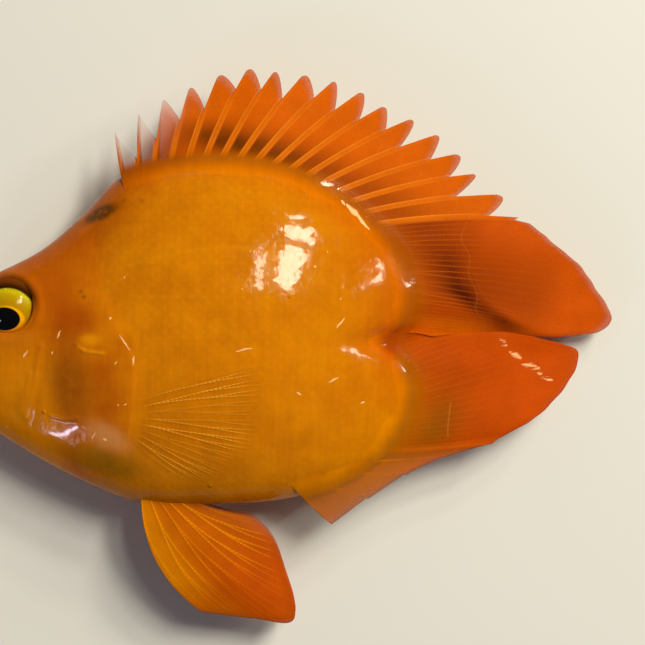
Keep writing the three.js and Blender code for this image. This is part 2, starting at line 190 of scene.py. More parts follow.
body = {
    "snoutX": -31.0,
    "backY": 20.1,
    "bellyY": -19.4,
    "notchX": 22.5,
    "lobeX": 25.3,
    "halfWidth": 8.7,
    "pressedFlat": 0.3,  # how far the flank is flattened where it rests
    "widestX": 2.0,
    "snoutTaper": 0.54,  # share of the width that is lost at the snout
    "tailTaper": 0.38,
    "sideFullness": 2.2,
    "snoutFullness": 4.5,
    "edgeFullness": 2.1,
    "blunt": (22.0, 32.0),  # the snout's bluntness sets in and is full this far in front of the middle
    "creaseFrom": 0.55,  # the notch's valley fades out this far from the middle to the rim
    "softTurn": 0.3,  # radians over which the inner body smooths its outline
}
midZ = body["halfWidth"] - body["pressedFlat"]
bodyOutline = [
    (body["snoutX"], -1.5),
    (-30.0, 1.5),
    (-26.5, 4.6),
    (-21.9, 7.2),  # over the eye
    (-16.7, 10.0),
    (-12.1, 14.0),  # nape
    (-7.6, 18.4),
    (-1.5, body["backY"] - 0.2),  # front of the dorsal fin
    (5.8, body["backY"]),
    (12.6, 18.5),
    (18.4, 15.3),
    (23.0, 10.8),
    (body["lobeX"], 5.6),  # upper lobe
    (24.6, 1.8),
    (body["notchX"], -0.8),  # notch
    (24.6, -3.2),
    (body["lobeX"] + 0.2, -6.9),  # lower lobe
    (24.1, -11.0),
    (20.0, -15.3),
    (12.7, -18.5),  # front of the anal fin
    (3.5, body["bellyY"]),
    (-5.2, body["bellyY"] + 0.1),  # root of the pelvic fins
    (-12.0, -16.9),
    (-18.4, -13.5),  # throat
    (-24.2, -9.7),
    (-28.6, -6.0),
    (-30.5, -3.6),  # chin
]


def spline(points, closed, steps=24):  # a smooth curve through the points
    points = np.asarray(points, float)
    count = len(points)
    spans = count if closed else count - 1
    share = np.linspace(0, 1, steps, endpoint=False)[:, None]
    curve = []
    for i in range(spans):
        picks = [(i + k) % count if closed else min(max(i + k, 0), count - 1) for k in (-1, 0, 1, 2)]
        before, start, end, after = points[picks]
        fromStart = (end - before) / 2
        toEnd = (after - start) / 2
        cubic = 2 * start - 2 * end + fromStart + toEnd
        square = -3 * start + 3 * end - 2 * fromStart - toEnd
        curve.append(cubic * share**3 + square * share**2 + fromStart * share + start)
    curve.append(points[:1] if closed else points[-1:])
    return np.concatenate(curve)


def alongCurve(curve, shares):  # points at shares of a curve's length
    lengths = np.concatenate([[0], np.cumsum(np.linalg.norm(np.diff(curve, axis=0), axis=1))])
    wanted = np.asarray(shares) * lengths[-1]
    return np.stack([np.interp(wanted, lengths, curve[:, k]) for k in (0, 1)], axis=-1)


outline = spline(bodyOutline, closed=True)
rimAngles = np.linspace(-math.pi, math.pi, 721)
outlineAngles = np.arctan2(outline[:, 1], outline[:, 0])
outlineOrder = np.argsort(outlineAngles)
rimTable = np.interp(
    rimAngles,
    outlineAngles[outlineOrder],
    np.hypot(outline[:, 0], outline[:, 1])[outlineOrder],
    period=2 * math.pi,
)
softKernel = bell(np.arange(-90, 91) * (rimAngles[1] - rimAngles[0]), body["softTurn"])
softTable = np.convolve(np.tile(rimTable[:-1], 3), softKernel / softKernel.sum(), mode="same")[720:1441]


def rimReach(angle, share):  # distance from the middle to the outline, smoother near the middle
    sharp = np.interp(angle, rimAngles, rimTable)
    soft = np.interp(angle, rimAngles, softTable)
    return lerp(soft, sharp, smoothstep(body["creaseFrom"], 1, share))


def rimShare(x, y):  # 0 in the middle of the flank and 1 at the outline
    angle = np.arctan2(y, x)
    away = np.hypot(x, y)
    low = np.zeros_like(away)
    high = np.full_like(away, 2.0)
    for _ in range(28):
        middle = (low + high) / 2
        inside = rimReach(angle, middle) * middle < away
        low = np.where(inside, middle, low)
        high = np.where(inside, high, middle)
    return (low + high) / 2


def halfThickness(x, share):
    taper = np.where(x < body["widestX"], body["snoutTaper"], body["tailTaper"])
    reach = np.where(x < body["widestX"], body["widestX"] - body["snoutX"], body["lobeX"] - body["widestX"])
    width = body["halfWidth"] * (1 - taper * ((x - body["widestX"]) / reach) ** 2)
    fullness = lerp(body["sideFullness"], body["snoutFullness"], smoothstep(*body["blunt"], -x))
    return width * (1 - np.minimum(share, 1) ** fullness) ** (1 / body["edgeFullness"])


def distanceTo(line, x, y):  # distance from points to a line of points on the flank
    nearest = np.full(np.shape(x), 1e9)
    for (ax, ay), (bx, by) in zip(line[:-1], line[1:]):
        dx, dy = bx - ax, by - ay
        along = np.clip(((x - ax) * dx + (y - ay) * dy) / (dx * dx + dy * dy), 0, 1)
        nearest = np.minimum(nearest, np.hypot(x - ax - along * dx, y - ay - along * dy))
    return nearest


def patch(x, y, place, reach, turn=0.0):  # a soft oval, 1 in its middle
    dx, dy = x - place[0], y - place[1]
    across = (dx * math.cos(turn) + dy * math.sin(turn)) / reach[0]
    up = (dy * math.cos(turn) - dx * math.sin(turn)) / reach[1]
    return np.exp(-((across**2 + up**2) ** 1.5))


# Head relief

mouth = {
    "y": -1.65,
    "droop": 0.22,
    "corner": -28.1,
    "lips": 0.85,  # from the cut to the middle of each lip
    "lipWidth": 0.62,
    "lipHeight": 0.72,
    "lowerLip": 0.9,  # height of the lower lip, as a share of the upper one's
    "lipFade": 1.6,
    "cut": 1.15,
    "cutWidth": 0.24,
    "cutFade": (-0.5, 0.4),
    "crease": {"below": 2.4, "depth": 0.25, "width": 0.5},
}
eye = {
    "centre": (-20.4, 3.2),
    "radius": 3.3,
    "depth": 2.3,
    "out": 3.5,
    "turn": 0.2,
    "rim": {"height": 0.12, "out": 0.55, "width": 0.5},
    "sunk": 2.4,
    "sunkFrom": (-0.95, -0.25),  # the skin dives under the eye between these, from the eye's edge
}
nostril = {
    "place": (-26.0, 3.2),
    "radius": 0.42,
    "floor": 0.12,
    "depth": 0.6,
    "rim": {"height": 0.14, "out": 0.22, "width": 0.2},
    "fade": (0.93, 0.99),
}
gill = {
    "middle": (-11.5, -5.6),
    "proud": 0.04,
    "decay": 4.0,
    "step": 0.35,
    "groove": {"depth": 0.02, "out": 0.5, "width": 0.3},
    "from": (-15.5, -12.0),  # the cover's free edge starts here along the fish
    "top": (0.0, 3.5),  # and ends here
    "outline": [
        (-14.7, 1.4),
        (-16.8, -4.6),
        (-16.9, -9.8),
        (-14.0, -13.6),
        (-10.2, -14.8),
        (-7.1, -12.4),
        (-6.3, -8.4),
        (-6.0, -3.4),
        (-7.5, 0.3),
        (-9.3, 3.3),
        (-12.2, 3.9),
    ],
}
cheekRidges = [
    {"line": [(-16.4, -1.2), (-16.8, -3.4), (-17.4, -6.2), (-18.2, -9.2)], "height": 0.1, "width": 0.4},
    {"line": [(-17.7, -4.4), (-18.1, -6.3), (-18.8, -8.6)], "height": 0.08, "width": 0.35},
    {"line": [(-12.3, -1.0), (-11.4, -1.7), (-9.2, -2.0)], "height": 0.11, "width": 0.22},
    {"line": [(-15.4, -9.1), (-13.9, -9.4), (-12.3, -9.3)], "height": 0.09, "width": 0.22},
]
gillCurve = spline(gill["outline"], closed=True) - gill["middle"]
gillAngles = np.arctan2(gillCurve[:, 1], gillCurve[:, 0])
gillReach = np.hypot(gillCurve[:, 0], gillCurve[:, 1])
gillOrder = np.argsort(gillAngles)


def distanceFrom(place, x, y):
    return np.hypot(x - place[0], y - place[1])


def beyondGill(x, y):  # signed distance from the gill cover's edge, negative on the cover
    dx, dy = x - gill["middle"][0], y - gill["middle"][1]
    edge = np.interp(np.arctan2(dy, dx), gillAngles[gillOrder], gillReach[gillOrder], period=2 * math.pi)
    return np.hypot(dx, dy) - edge


def raisedRim(rim, past):
    return rim["height"] * bell(past - rim["out"], rim["width"])


def relief(x, y, share):  # height that the skin stands out from the plain body
    off = y - mouth["y"] + mouth["droop"] * (x - body["snoutX"])
    lipFade = 1 - smoothstep(mouth["corner"] - mouth["lipFade"], mouth["corner"], x)
    lips = bell(off - mouth["lips"], mouth["lipWidth"])
    lips += mouth["lowerLip"] * bell(off + mouth["lips"], mouth["lipWidth"])
    cutFade = 1 - smoothstep(*[mouth["corner"] + each for each in mouth["cutFade"]], x)
    height = lipFade * mouth["lipHeight"] * lips - cutFade * mouth["cut"] * bell(off, mouth["cutWidth"])
    crease = mouth["crease"]
    height -= crease["depth"] * lipFade * bell(off + crease["below"], crease["width"])

    pastEye = distanceFrom(eye["centre"], x, y) - eye["radius"]
    height += raisedRim(eye["rim"], pastEye)
    height -= eye["sunk"] * (1 - smoothstep(*eye["sunkFrom"], pastEye))

    fromNostril = distanceFrom(nostril["place"], x, y)
    pit = nostril["depth"] * (1 - smoothstep(nostril["floor"], nostril["radius"], fromNostril))
    besideRim = 1 - smoothstep(*nostril["fade"], share)
    height += besideRim * (raisedRim(nostril["rim"], fromNostril - nostril["radius"]) - pit)

    past = beyondGill(x, y)
    free = smoothstep(*gill["from"], x) * (1 - smoothstep(*gill["top"], y))
    step = np.where(past < 0, np.exp(np.minimum(past, 0) / gill["decay"]), bell(past, gill["step"]))
    groove = gill["groove"]
    grooved = groove["depth"] * bell(past - groove["out"], groove["width"])
    height += free * (gill["proud"] * step - grooved)
    for ridge in cheekRidges:
        height += ridge["height"] * bell(distanceTo(ridge["line"], x, y), ridge["width"])
    return height


uneven = {
    "waves": 14,
    "lengths": (1.6, 6.0),
    "height": 0.0011,
    "onHead": 0.15,
    "headEnds": (-12, -6),
    "calm": {"strength": 0.75, "place": (11.5, 6.5), "reach": (6.0, 6.0)},
}
waves = list(zip(
    randomness.uniform(0, math.pi, uneven["waves"]),
    randomness.uniform(*uneven["lengths"], uneven["waves"]),
    randomness.uniform(0, 6.3, uneven["waves"]),
))


def undulation(x, y):  # the slight unevenness of living flesh
    total = np.zeros_like(x)
    for turn, length, phase in waves:
        along = x * math.cos(turn) + y * math.sin(turn)
        total += length * np.sin(2 * math.pi * along / length + phase)
    calm = uneven["calm"]
    shown = lerp(uneven["onHead"], 1, smoothstep(*uneven["headEnds"], x))
    shown *= 1 - calm["strength"] * patch(x, y, calm["place"], calm["reach"])
    return uneven["height"] * total * shown


# Markings, the same on the skin and on its scales

ovals = {  # place, reach, turn and strength of each soft oval
    # Painted shade: the notch's oval darkens the skin in the notch's crease
    "notch": [((23.2, -0.8), (1.3, 1.9), 0.0, 1.0)],
    "red": [((-12.7, 1.5), (2.3, 2.1), 0.0, 0.75), ((-8.9, -6.2), (2.0, 5.2), 0.0, 0.7)],
    "shade": [((-13.1, -5.6), (2.5, 4.9), 0.12, 1.0)],
    "olive": [((-9.6, -14.2), (4.6, 1.7), -0.3, 1.0)],
    # Painted shade: a darker patch on the flank where the pectoral fin lies over it
    "dim": [((0.5, -6.0), (8.0, 3.5), 0.0, 0.5)],
    "smudge": [((-9.9, 13.8), (2.1, 0.75), 0.4, 1.6)],
    "clear": [((-9.0, -11.3), (2.6, 1.3), -0.5, 1.0)],
    "gold": [((-10.7, -0.5), (1.3, 0.7), 0.0, 1.0)],
    "silver": [((-20.0, -0.6), (3.2, 0.9), 0.1, 1.0)],
}
zones = {  # from nothing at the first number to full at the second, along, across and out to the rim
    "back": {"share": (0.8, 0.97), "y": (0, 8), "x": (-14, -6)},
    "rear": {"share": (0.5, 0.95), "y": (-12, 0), "x": (13, 24)},
    "jaw": {"y": (3, -5), "x": (-12, -16)},
    "socket": {"y": (1.8, 4.6), "x": (-24, -21)},
    "gillEdge": {"y": (3, -1)},
    "belly": {"y": (-16, -19.5)},
    "inside": {"share": (0.99, 0.95)},
    "upper": {"x": (-8, 0), "y": (-4, 2)},
}
goldLines = [
    {"line": [(-12.1, -1.3), (-11.0, -1.8), (-9.3, -2.0)], "width": 0.18, "strength": 1.0},
    {
        "line": [(-6.3, 7.9), (-2.9, 8.75), (1.6, 9.65), (6.0, 9.85), (9.4, 9.3), (13.2, 7.7)],
        "width": 0.22,
        "strength": 0.5,
    },
    {"line": [(-6.2, 4.3), (2.7, 4.3)], "width": 0.2, "strength": 0.3},
]
dots = {"places": [(-7.3, 15.2), (-5.1, 15.2), (-11.9, 4.9), (-11.5, 4.3)], "width": 0.2}
headTone = {"ends": (-14.5, -7.0), "bend": 0.03, "above": 2}
gillEdge = {"strength": 0.2, "inside": 0.3, "width": 0.8}
# Dark pigment with painted shadow: a dark brown band round the eye's upper rim, where the lid and socket shade it
socket = {"width": 0.42, "inside": 0.1}
belly = {"strength": 0.3, "before": 4}
brink = {"from": (0.72, 0.88), "full": 0.96}  # the wet coat ends here towards the rim, below and above


def markings(x, y, share):
    values = {"x": x, "y": y, "share": share}

    def within(zone):
        return np.prod([smoothstep(*ends, values[name]) for name, ends in zones[zone].items()], axis=0)

    marks = {
        name: sum(strength * patch(x, y, place, reach, turn) for place, reach, turn, strength in parts)
        for name, parts in ovals.items()
    }
    for line in goldLines:
        marks["gold"] += line["strength"] * bell(distanceTo(line["line"], x, y), line["width"])
    marks["gold"] = np.minimum(1, marks["gold"])
    edge = bell(beyondGill(x, y) + gillEdge["inside"], gillEdge["width"])
    marks["red"] += gillEdge["strength"] * within("gillEdge") * edge
    marks["olive"] += belly["strength"] * within("belly") * (x < belly["before"])
    marks["smudge"] = np.minimum(1, marks["smudge"]) * within("inside")
    fromSocket = distanceFrom(eye["centre"], x, y) - eye["radius"] + socket["inside"]
    bend = headTone["bend"] * (y - headTone["above"]) ** 2 * (y > headTone["above"])
    return marks | {
        "back": within("back"),
        "rear": within("rear"),
        "jaw": within("jaw"),
        "socket": within("socket") * bell(fromSocket, socket["width"]),
        "head": 1 - smoothstep(*headTone["ends"], x - bend),
        "dots": np.max([bell(distanceFrom(dot, x, y), dots["width"]) for dot in dots["places"]], axis=0),
        "brink": smoothstep(lerp(*brink["from"], within("upper")), brink["full"], share),
    }


skinTones = {  # the flank's own two tones, then the markings in the order in which they lie over it
    "flank": srgb(214, 127, 1),
    "cloud": srgb(203, 116, 1),
    "back": srgb(210, 110, 1),
    "rear": srgb(198, 97, 2),
    # painted shade where the pectoral fin lies over the flank
    "dim": srgb(206, 120, 1),
    "head": srgb(184, 88, 1),
    "jaw": srgb(222, 135, 1),
    "silver": srgb(206, 118, 14),
    "red": srgb(160, 66, 1),
    "olive": srgb(152, 98, 1),
    "shade": srgb(142, 72, 3),
    # painted shade in the notch's crease
    "notch": srgb(198, 78, 1),
    "clear": srgb(206, 136, 76),
    "gold": srgb(222, 140, 4),
    # dark pigment with painted shadow round the eye's upper rim
    "socket": srgb(78, 42, 4),
    "smudge": srgb(110, 60, 2),
}
skinGrain = {
    "broken": 0.78,  # the markings' least strength where the clouds thin them
    "mottle": 0.14,
    "speckle": (0.3, 0.5),
    "speckled": 0.5,
    "dots": 0.8,
    "streaks": (0.955, 1.035),
    "bands": (0.975, 1.02),
}


def skinColour(paint):
    cloud = paint.noise((0.3, 0.3, 0.3), 4.0)
    colour = paint.blend(paint.vary(cloud), skinTones["flank"], skinTones["cloud"])
    broken = paint.vary(cloud, skinGrain["broken"], 1.0)
    for name in list(skinTones)[2:-1]:
        colour = paint.blend(paint.tone(name) * broken, colour, skinTones[name])
    mottle = paint.between(paint.noise((1.2, 1.2, 1.2), 4.0, 0.6), 0.35, 0.65) * paint.tone("shade")
    colour = paint.blend(mottle * skinGrain["mottle"], colour, skinTones["jaw"])
    speckle = paint.noise((1.6, 1.6, 1.6), 3.0)
    speckle = paint.between(speckle, *skinGrain["speckle"], skinGrain["speckled"], 1.0)
    colour = paint.blend(paint.tone("smudge") * speckle, colour, skinTones["smudge"])
    colour = paint.blend(paint.tone("dots") * skinGrain["dots"], colour, skinTones["smudge"])
    streaks = paint.vary(paint.noise((1.9, 0.2, 0.5), 3.0, 0.6), *skinGrain["streaks"])
    bands = paint.vary(paint.noise((0.25, 1.2, 0.5), 2.0), *skinGrain["bands"])
    return paint.times(colour, streaks * bands)


# Painted highlights: small pale glints laid into the colour of the skin, of the dorsal fin's root along the back
# and of the anal fin
glintTone = srgb(255, 206, 150)
glintShape = {"ripple": 0.3, "taper": 0.4, "pastEnds": 0.1}
skinGlints = {"strength": 0.8, "blur": 0.6, "streaked": None}
skinGlints["lines"] = [  # middle, angle in degrees, half length and half width of each painted glint
    ((-6.8, -0.8), -56, 1.0, 0.13),
    ((-5.8, -2.8), 84, 0.5, 0.13),
    ((-14.3, 0.1), 62, 0.45, 0.13),
    ((-18.2, -2.1), 58, 0.45, 0.13),
    ((6.5, -1.6), 12, 0.9, 0.13),
    ((17.3, 1.4), 50, 0.7, 0.13),
    ((16.5, -5.0), 27, 0.6, 0.13),
    ((19.8, -7.6), 20, 0.2, 0.13),
    ((12.6, -6.5), -35, 0.25, 0.13),
    ((14.4, 7.7), -30, 0.12, 0.13),
    ((7.2, 9.4), 0, 0.02, 0.13),
    ((15.8, 9.4), 0, 0.02, 0.13),
    ((6.3, 5.2), 0, 0.01, 0.13),
    ((17.3, 4.1), 0, 0.01, 0.13),
    ((-8.4, 1.9), 60, 0.12, 0.16),
    ((-15.1, -1.95), 70, 0.1, 0.15),
    ((-7.8, -3.1), 35, 0.15, 0.09),
    ((-7.6, -7.8), 0, 0.05, 0.1),
    ((-6.8, -7.7), 35, 0.15, 0.1),
    ((-9.2, -11.7), -20, 0.2, 0.16),
    ((-10.5, -11.3), 62, 0.4, 0.09),
    ((-6.9, 6.5), 50, 0.1, 0.11),
]
# painted highlights along the back's rim, laid on the dorsal fin's fleshy root
backGlints = skinGlints | {
    "lines": [
        ((17.6, 15.1), -62, 0.3, 0.2),
        ((18.8, 14.1), -44, 1.1, 0.42),
        ((19.8, 12.9), -50, 1.1, 0.24),
    ],
}
# painted highlights on the anal fin
tailGlints = {
    "strength": 0.7,
    "blur": 1.0,
    "streaked": (0.44, 0.54),
    "lines": [
        ((35.2, -0.1), -8, 0.5, 0.2),
        ((36.1, -0.9), -40, 0.5, 0.5),
        ((37.6, -2.3), -28, 0.7, 0.55),
        ((39.4, -3.6), -14, 1.0, 0.55),
        ((41.1, -4.9), -30, 0.9, 0.6),
    ],
}


def paintedGlints(paint, glintSet):  # how strongly the painted glints show at a point
    x, y = paint.across("X"), paint.across("Y")
    ripple = (paint.noise((1.6, 1.6, 1.6), 2.0) - 0.5) * glintShape["ripple"]
    shown = 0.0
    for middle, angle, half, wide in glintSet["lines"]:
        cosine, sine = math.cos(math.radians(angle)), math.sin(math.radians(angle))
        dx, dy = x - middle[0], y - middle[1]
        along = paint.distance(dx * cosine + dy * sine)
        beyond = paint.maths("MAXIMUM", along - half, 0.0)
        off = dy * cosine - dx * sine + ripple
        width = paint.between(along, 0.0, half + glintShape["pastEnds"], wide, wide * glintShape["taper"])
        close = 1 - (beyond * beyond + off * off) ** 0.5 / width
        shown = paint.maths("MAXIMUM", shown, close)
    shown = paint.between(shown, 0.0, glintSet["blur"], 0.0, glintSet["strength"])
    if glintSet["streaked"]:
        shown = shown * paint.between(paint.noise((0.5, 2.6, 1.0), 3.0), *glintSet["streaked"])
    return shown


beads = {"spacing": 4.5, "radius": 0.33, "height": 0.1}
slime = {
    "bump": 0.5,
    "bumpDeep": 0.1,
    "roughness": (0.08, 0.14),
    "coat": (0.24, 0.03),  # inside the brink and past it
    "coatRoughness": 0.04,
    "ior": 1.4,
    "specular": 0.1,
    "glow": 0.12,
    "glowRadius": (1.0, 0.35, 0.1),
    "glowScale": 1.5,
}


def wetSkin(name):
    paint = Paint(name)
    grain = paint.noise((0.9, 0.6, 0.9), 3.0, 0.5)
    sockets = {"Vector": paint.spot(), "Scale": 1 / beads["spacing"]}
    fromBead = paint.node("ShaderNodeTexVoronoi", {}, sockets, out="Distance")
    far = paint.between(fromBead, 0.0, beads["radius"] / beads["spacing"])
    sockets = {"Strength": 1.0, "Distance": beads["height"] * millimetre, "Height": 1.0 - far * far}
    beaded = paint.node("ShaderNodeBump", {}, sockets)
    depth = slime["bumpDeep"] * millimetre
    sockets = {"Strength": slime["bump"], "Distance": depth, "Height": grain, "Normal": beaded}
    return paint.finish(
        # painted highlights over the skin's colour
        colour=paint.blend(paintedGlints(paint, skinGlints), skinColour(paint), glintTone),
        roughness=paint.vary(grain, *slime["roughness"]),
        normal=paint.node("ShaderNodeBump", {}, sockets),
        ior=slime["ior"],
        specular=slime["specular"],
        coat=paint.between(paint.tone("brink"), 0.0, 1.0, *slime["coat"]),
        coatRoughness=slime["coatRoughness"],
        glow=slime["glow"],
        glowRadius=slime["glowRadius"],
        glowScale=slime["glowScale"] * millimetre,
    )


print("skin")
skinMesh = {"counts": (220, 180, 130), "lean": (0.35, 0.0, 0.0), "pinch": (0.0, 0.45, 0.4)}


def ticks(axis):  # stations along one axis of the cube, denser where the head and the rim need it
    place = np.linspace(-1, 1, skinMesh["counts"][axis] + 1)
    place = place + skinMesh["lean"][axis] * (place**2 - 1) / 2
    place = lerp(place, place**3, skinMesh["pinch"][axis])
    return np.tan(place * math.pi / 4)


def cubeBall():  # a ball from the six faces of a cube, with no pole
    corners = []
    faces = []
    start = 0
    for axis in range(3):
        others = [(axis + 1) % 3, (axis + 2) % 3]
        first, second = ticks(others[0]), ticks(others[1])
        for sign in (1, -1):
            grid = np.zeros((len(first), len(second), 3))
            grid[..., axis] = sign
            grid[..., others[0]] = first[:, None]
            grid[..., others[1]] = second[None, :]
            number = start + np.arange(grid.shape[0] * grid.shape[1]).reshape(grid.shape[:2])
            quad = [number[:-1, :-1], number[1:, :-1], number[1:, 1:], number[:-1, 1:]]
            faces.append(np.stack(quad[::sign], axis=-1).reshape(-1, 4))
            corners.append(grid.reshape(-1, 3))
            start += number.size
    corners = np.concatenate(corners)
    _, kept, number = np.unique(np.round(corners, 7), axis=0, return_index=True, return_inverse=True)
    corners = corners[kept]
    return corners / np.linalg.norm(corners, axis=1)[:, None], number.ravel()[np.concatenate(faces)]


def vertexNormals(points, faces):
    across = np.cross(points[faces[:, 2]] - points[faces[:, 0]], points[faces[:, 3]] - points[faces[:, 1]])
    normals = np.zeros_like(points)
    for corner in range(4):
        for k in range(3):
            normals[:, k] += np.bincount(faces[:, corner], across[:, k], len(points))
    return normals / np.maximum(np.linalg.norm(normals, axis=1), 1e-12)[:, None]


def buildSkin():
    ball, faces = cubeBall()
    share = np.minimum(np.hypot(ball[:, 0], ball[:, 1]), 1)
    angle = np.arctan2(ball[:, 1], ball[:, 0])
    reach = rimReach(angle, share) * share
    x, y = reach * np.cos(angle), reach * np.sin(angle)
    z = midZ + np.sign(ball[:, 2]) * halfThickness(x, share)
    points = np.stack([x, y, z], axis=-1)
    normals = vertexNormals(points, faces)
    points += normals * (relief(x, y, share) + undulation(x, y))[:, None]
    points[:, 2] = np.maximum(points[:, 2], 0)
    return pieceFrom("skin", points, faces, wetSkin("wetSkin"), markings(x, y, share))


skin = buildSkin()
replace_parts(skin, "head", "trunk", "hind_body", "upper_lip", "lower_lip", "gill_cover_left", "gill_cover_right")
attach(skin, "root")

# Scales

print("scales")
scales = {
    "length": 1.45,  # from row to row along the fish
    "width": 1.3,
    "fullness": 0.56,
    "widest": 0.42,  # share of a scale's length where it is widest
    "taper": 0.75,
    "roundEdge": 0.42,  # how far the free edge's corners fall back
    "overlap": 1.3,
    "rooted": 0.2,
    "lift": (-0.01, 0.012),  # height of the root and of the free edge
    "flatSides": 0.25,
    "tiltSpread": 0.2,
    "sunk": 0.06,
    "columns": 6,
    "rows": 5,
    "field": 36,  # half width of the field that the rows are laid out on
    "headEnds": {"x": -9.0, "bend": 0.01, "y": -4},
    "clearOfGill": 0.9,
    "clearOfRim": 0.6,
    "patch": 0.003,  # width of one scale's patch on the colour map
    "underPatch": 0.8,
    "mapReach": 0.48,
}
unwrapAngles = np.linspace(-math.pi, math.pi, 361)
unwrapShares = np.sin(np.linspace(0, math.pi / 2, 121))


def unwrapTable():  # arc length over the flank from its middle, for each direction and share
    angle, share = np.meshgrid(unwrapAngles, unwrapShares, indexing="ij")
    reach = rimReach(angle, share) * share
    height = halfThickness(reach * np.cos(angle), share)
    steps = np.hypot(np.diff(reach, axis=1), np.diff(height, axis=1))
    return np.concatenate([np.zeros((len(unwrapAngles), 1)), np.cumsum(steps, axis=1)], axis=1)


arcTable = unwrapTable()
shareGrid = np.linspace(0, 1, 161)
shareTable = np.array([np.interp(shareGrid, row / row[-1], unwrapShares) for row in arcTable])


def shareAt(u, v):  # share of the way to the rim at a place on the unwrapped flank
    angle = np.arctan2(v, u)
    full = np.interp(angle, unwrapAngles, arcTable[:, -1])
    part = np.clip(np.hypot(u, v) / full, 0, 1) * (len(shareGrid) - 1)
    turn = (angle + math.pi) / (2 * math.pi) * (len(unwrapAngles) - 1)
    i = np.clip(turn.astype(int), 0, len(unwrapAngles) - 2)
    j = np.clip(part.astype(int), 0, len(shareGrid) - 2)
    a, b = turn - i, part - j
    low = lerp(shareTable[i, j], shareTable[i + 1, j], a)
    high = lerp(shareTable[i, j + 1], shareTable[i + 1, j + 1], a)
    return lerp(low, high, b), angle


def onFlank(u, v):  # the point of the skin at a place on the unwrapped flank
    share, angle = shareAt(u, v)
    reach = rimReach(angle, share) * share
    x, y = reach * np.cos(angle), reach * np.sin(angle)
    z = halfThickness(x, share)
    return x, y, z, share


def flankPoint(u, v, side, height):
    nudge = 0.05
    x, y, z, share = onFlank(u, v)
    ax, ay, az, _ = onFlank(u + nudge, v)
    bx, by, bz, _ = onFlank(u, v + nudge)
    along = np.stack([ax - x, ay - y, az - z], axis=-1)
    across = np.stack([bx - x, by - y, bz - z], axis=-1)
    normal = np.cross(along, across)
    normal /= np.maximum(np.linalg.norm(normal, axis=-1), 1e-9)[..., None]
    raised = height + relief(x, y, share) + undulation(x, y)
    point = np.stack([x, y, z], axis=-1) + normal * raised[..., None]
    point[..., 2] = np.maximum(midZ + side * point[..., 2], 0)
    return point, x, y, share


def scaleRoots():
    roots = []
    for row, v in enumerate(np.arange(-scales["field"], scales["field"], scales["width"] / 2)):
        shift = scales["length"] / 2 * (row % 2)
        for u in np.arange(-scales["field"], scales["field"], scales["length"]):
            roots.append((u + shift, v))
    roots = np.array(roots)
    full = np.interp(np.arctan2(roots[:, 1], roots[:, 0]), unwrapAngles, arcTable[:, -1])
    x, y, _, _ = onFlank(roots[:, 0], roots[:, 1])
    head = scales["headEnds"]
    scaled = x + head["bend"] * (y - head["y"]) ** 2 > head["x"]
    clear = beyondGill(x, y) > scales["clearOfGill"]
    inside = np.hypot(roots[:, 0], roots[:, 1]) < full - scales["clearOfRim"]
    return roots[scaled & clear & inside]


def buildScales(side, name, material):
    roots = scaleRoots()
    rows, columns = scales["rows"], scales["columns"]
    along = np.linspace(0, 1, rows)[:, None] * np.ones(columns)
    across = np.linspace(-1, 1, columns)[None, :] * np.ones(rows)[:, None]
    # The free edge is round and the root is narrow
    narrowing = np.sqrt(1 - scales["taper"] * (along - scales["widest"]) ** 2)
    localU = along * (1 - scales["roundEdge"] * across**2) - scales["rooted"]
    u = roots[:, 0, None, None] + scales["length"] * scales["overlap"] * localU
    v = roots[:, 1, None, None] + scales["width"] * scales["fullness"] * narrowing * across
    top = lerp(*scales["lift"], along * (1 - scales["flatSides"] * across**2))
    tilt = 1 + scales["tiltSpread"] * randomness.standard_normal((len(roots), 1, 1))
    upper, x, y, share = flankPoint(u, v, side, top * tilt)
    under, _, _, _ = flankPoint(u, v, side, np.full_like(u, -scales["sunk"]))
    each = rows * columns
    number = np.arange(each).reshape(rows, columns)
    loop = np.concatenate([number[0, :-1], number[:-1, -1], number[-1, :0:-1], number[:0:-1, 0]])
    kept = np.concatenate([number.ravel(), loop, number.ravel()])  # top, its border again, and underside
    top, below = upper.reshape(len(roots), each, 3), under.reshape(len(roots), each, 3)
    points = np.concatenate([top, top[:, loop], below], axis=1)
    quads = [number[:-1, :-1], number[1:, :-1], number[1:, 1:], number[:-1, 1:]]
    topFaces = np.stack(quads, axis=-1).reshape(-1, 4)
    border = each + np.arange(len(loop))
    belowStart = each + len(loop)
    walls = [border, np.roll(border, -1), np.roll(loop, -1) + belowStart, loop + belowStart]
    faces = np.concatenate([topFaces, topFaces[:, ::-1] + belowStart, np.stack(walls, axis=-1)])
    if side > 0:
        faces = faces[:, ::-1]
    allFaces = (faces[None] + len(kept) * np.arange(len(roots))[:, None, None]).reshape(-1, 4)
    marks = markings(x, y, share)
    tones = {tone: marks[tone].reshape(len(roots), each)[:, kept].ravel() for tone in marks}
    piece = pieceFrom(name, points.reshape(-1, 3), allFaces, material, tones)
    flat = np.stack([along.ravel(), across.ravel() / 2], axis=-1)[kept] * scales["patch"]
    flat[belowStart:] *= scales["underPatch"]
    rootMap = 0.5 + scales["mapReach"] * roots / arcTable.max()
    mapped = rootMap[:, None, :] + flat[None]
    layer = piece.data.uv_layers.new(name="OFBake")
    layer.data.foreach_set("uv", mapped.reshape(-1, 2)[allFaces.ravel()].astype(np.float32).ravel())
    return piece


scaleSkin = wetSkin("scaledSkin")
for side, name in ((1, "scales_left"), (-1, "scales_right")):
    coat = buildScales(side, name, scaleSkin)
    print(name, sum(len(face.vertices) - 2 for face in coat.data.polygons), "triangles")
    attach(coat, "root")

# Fins

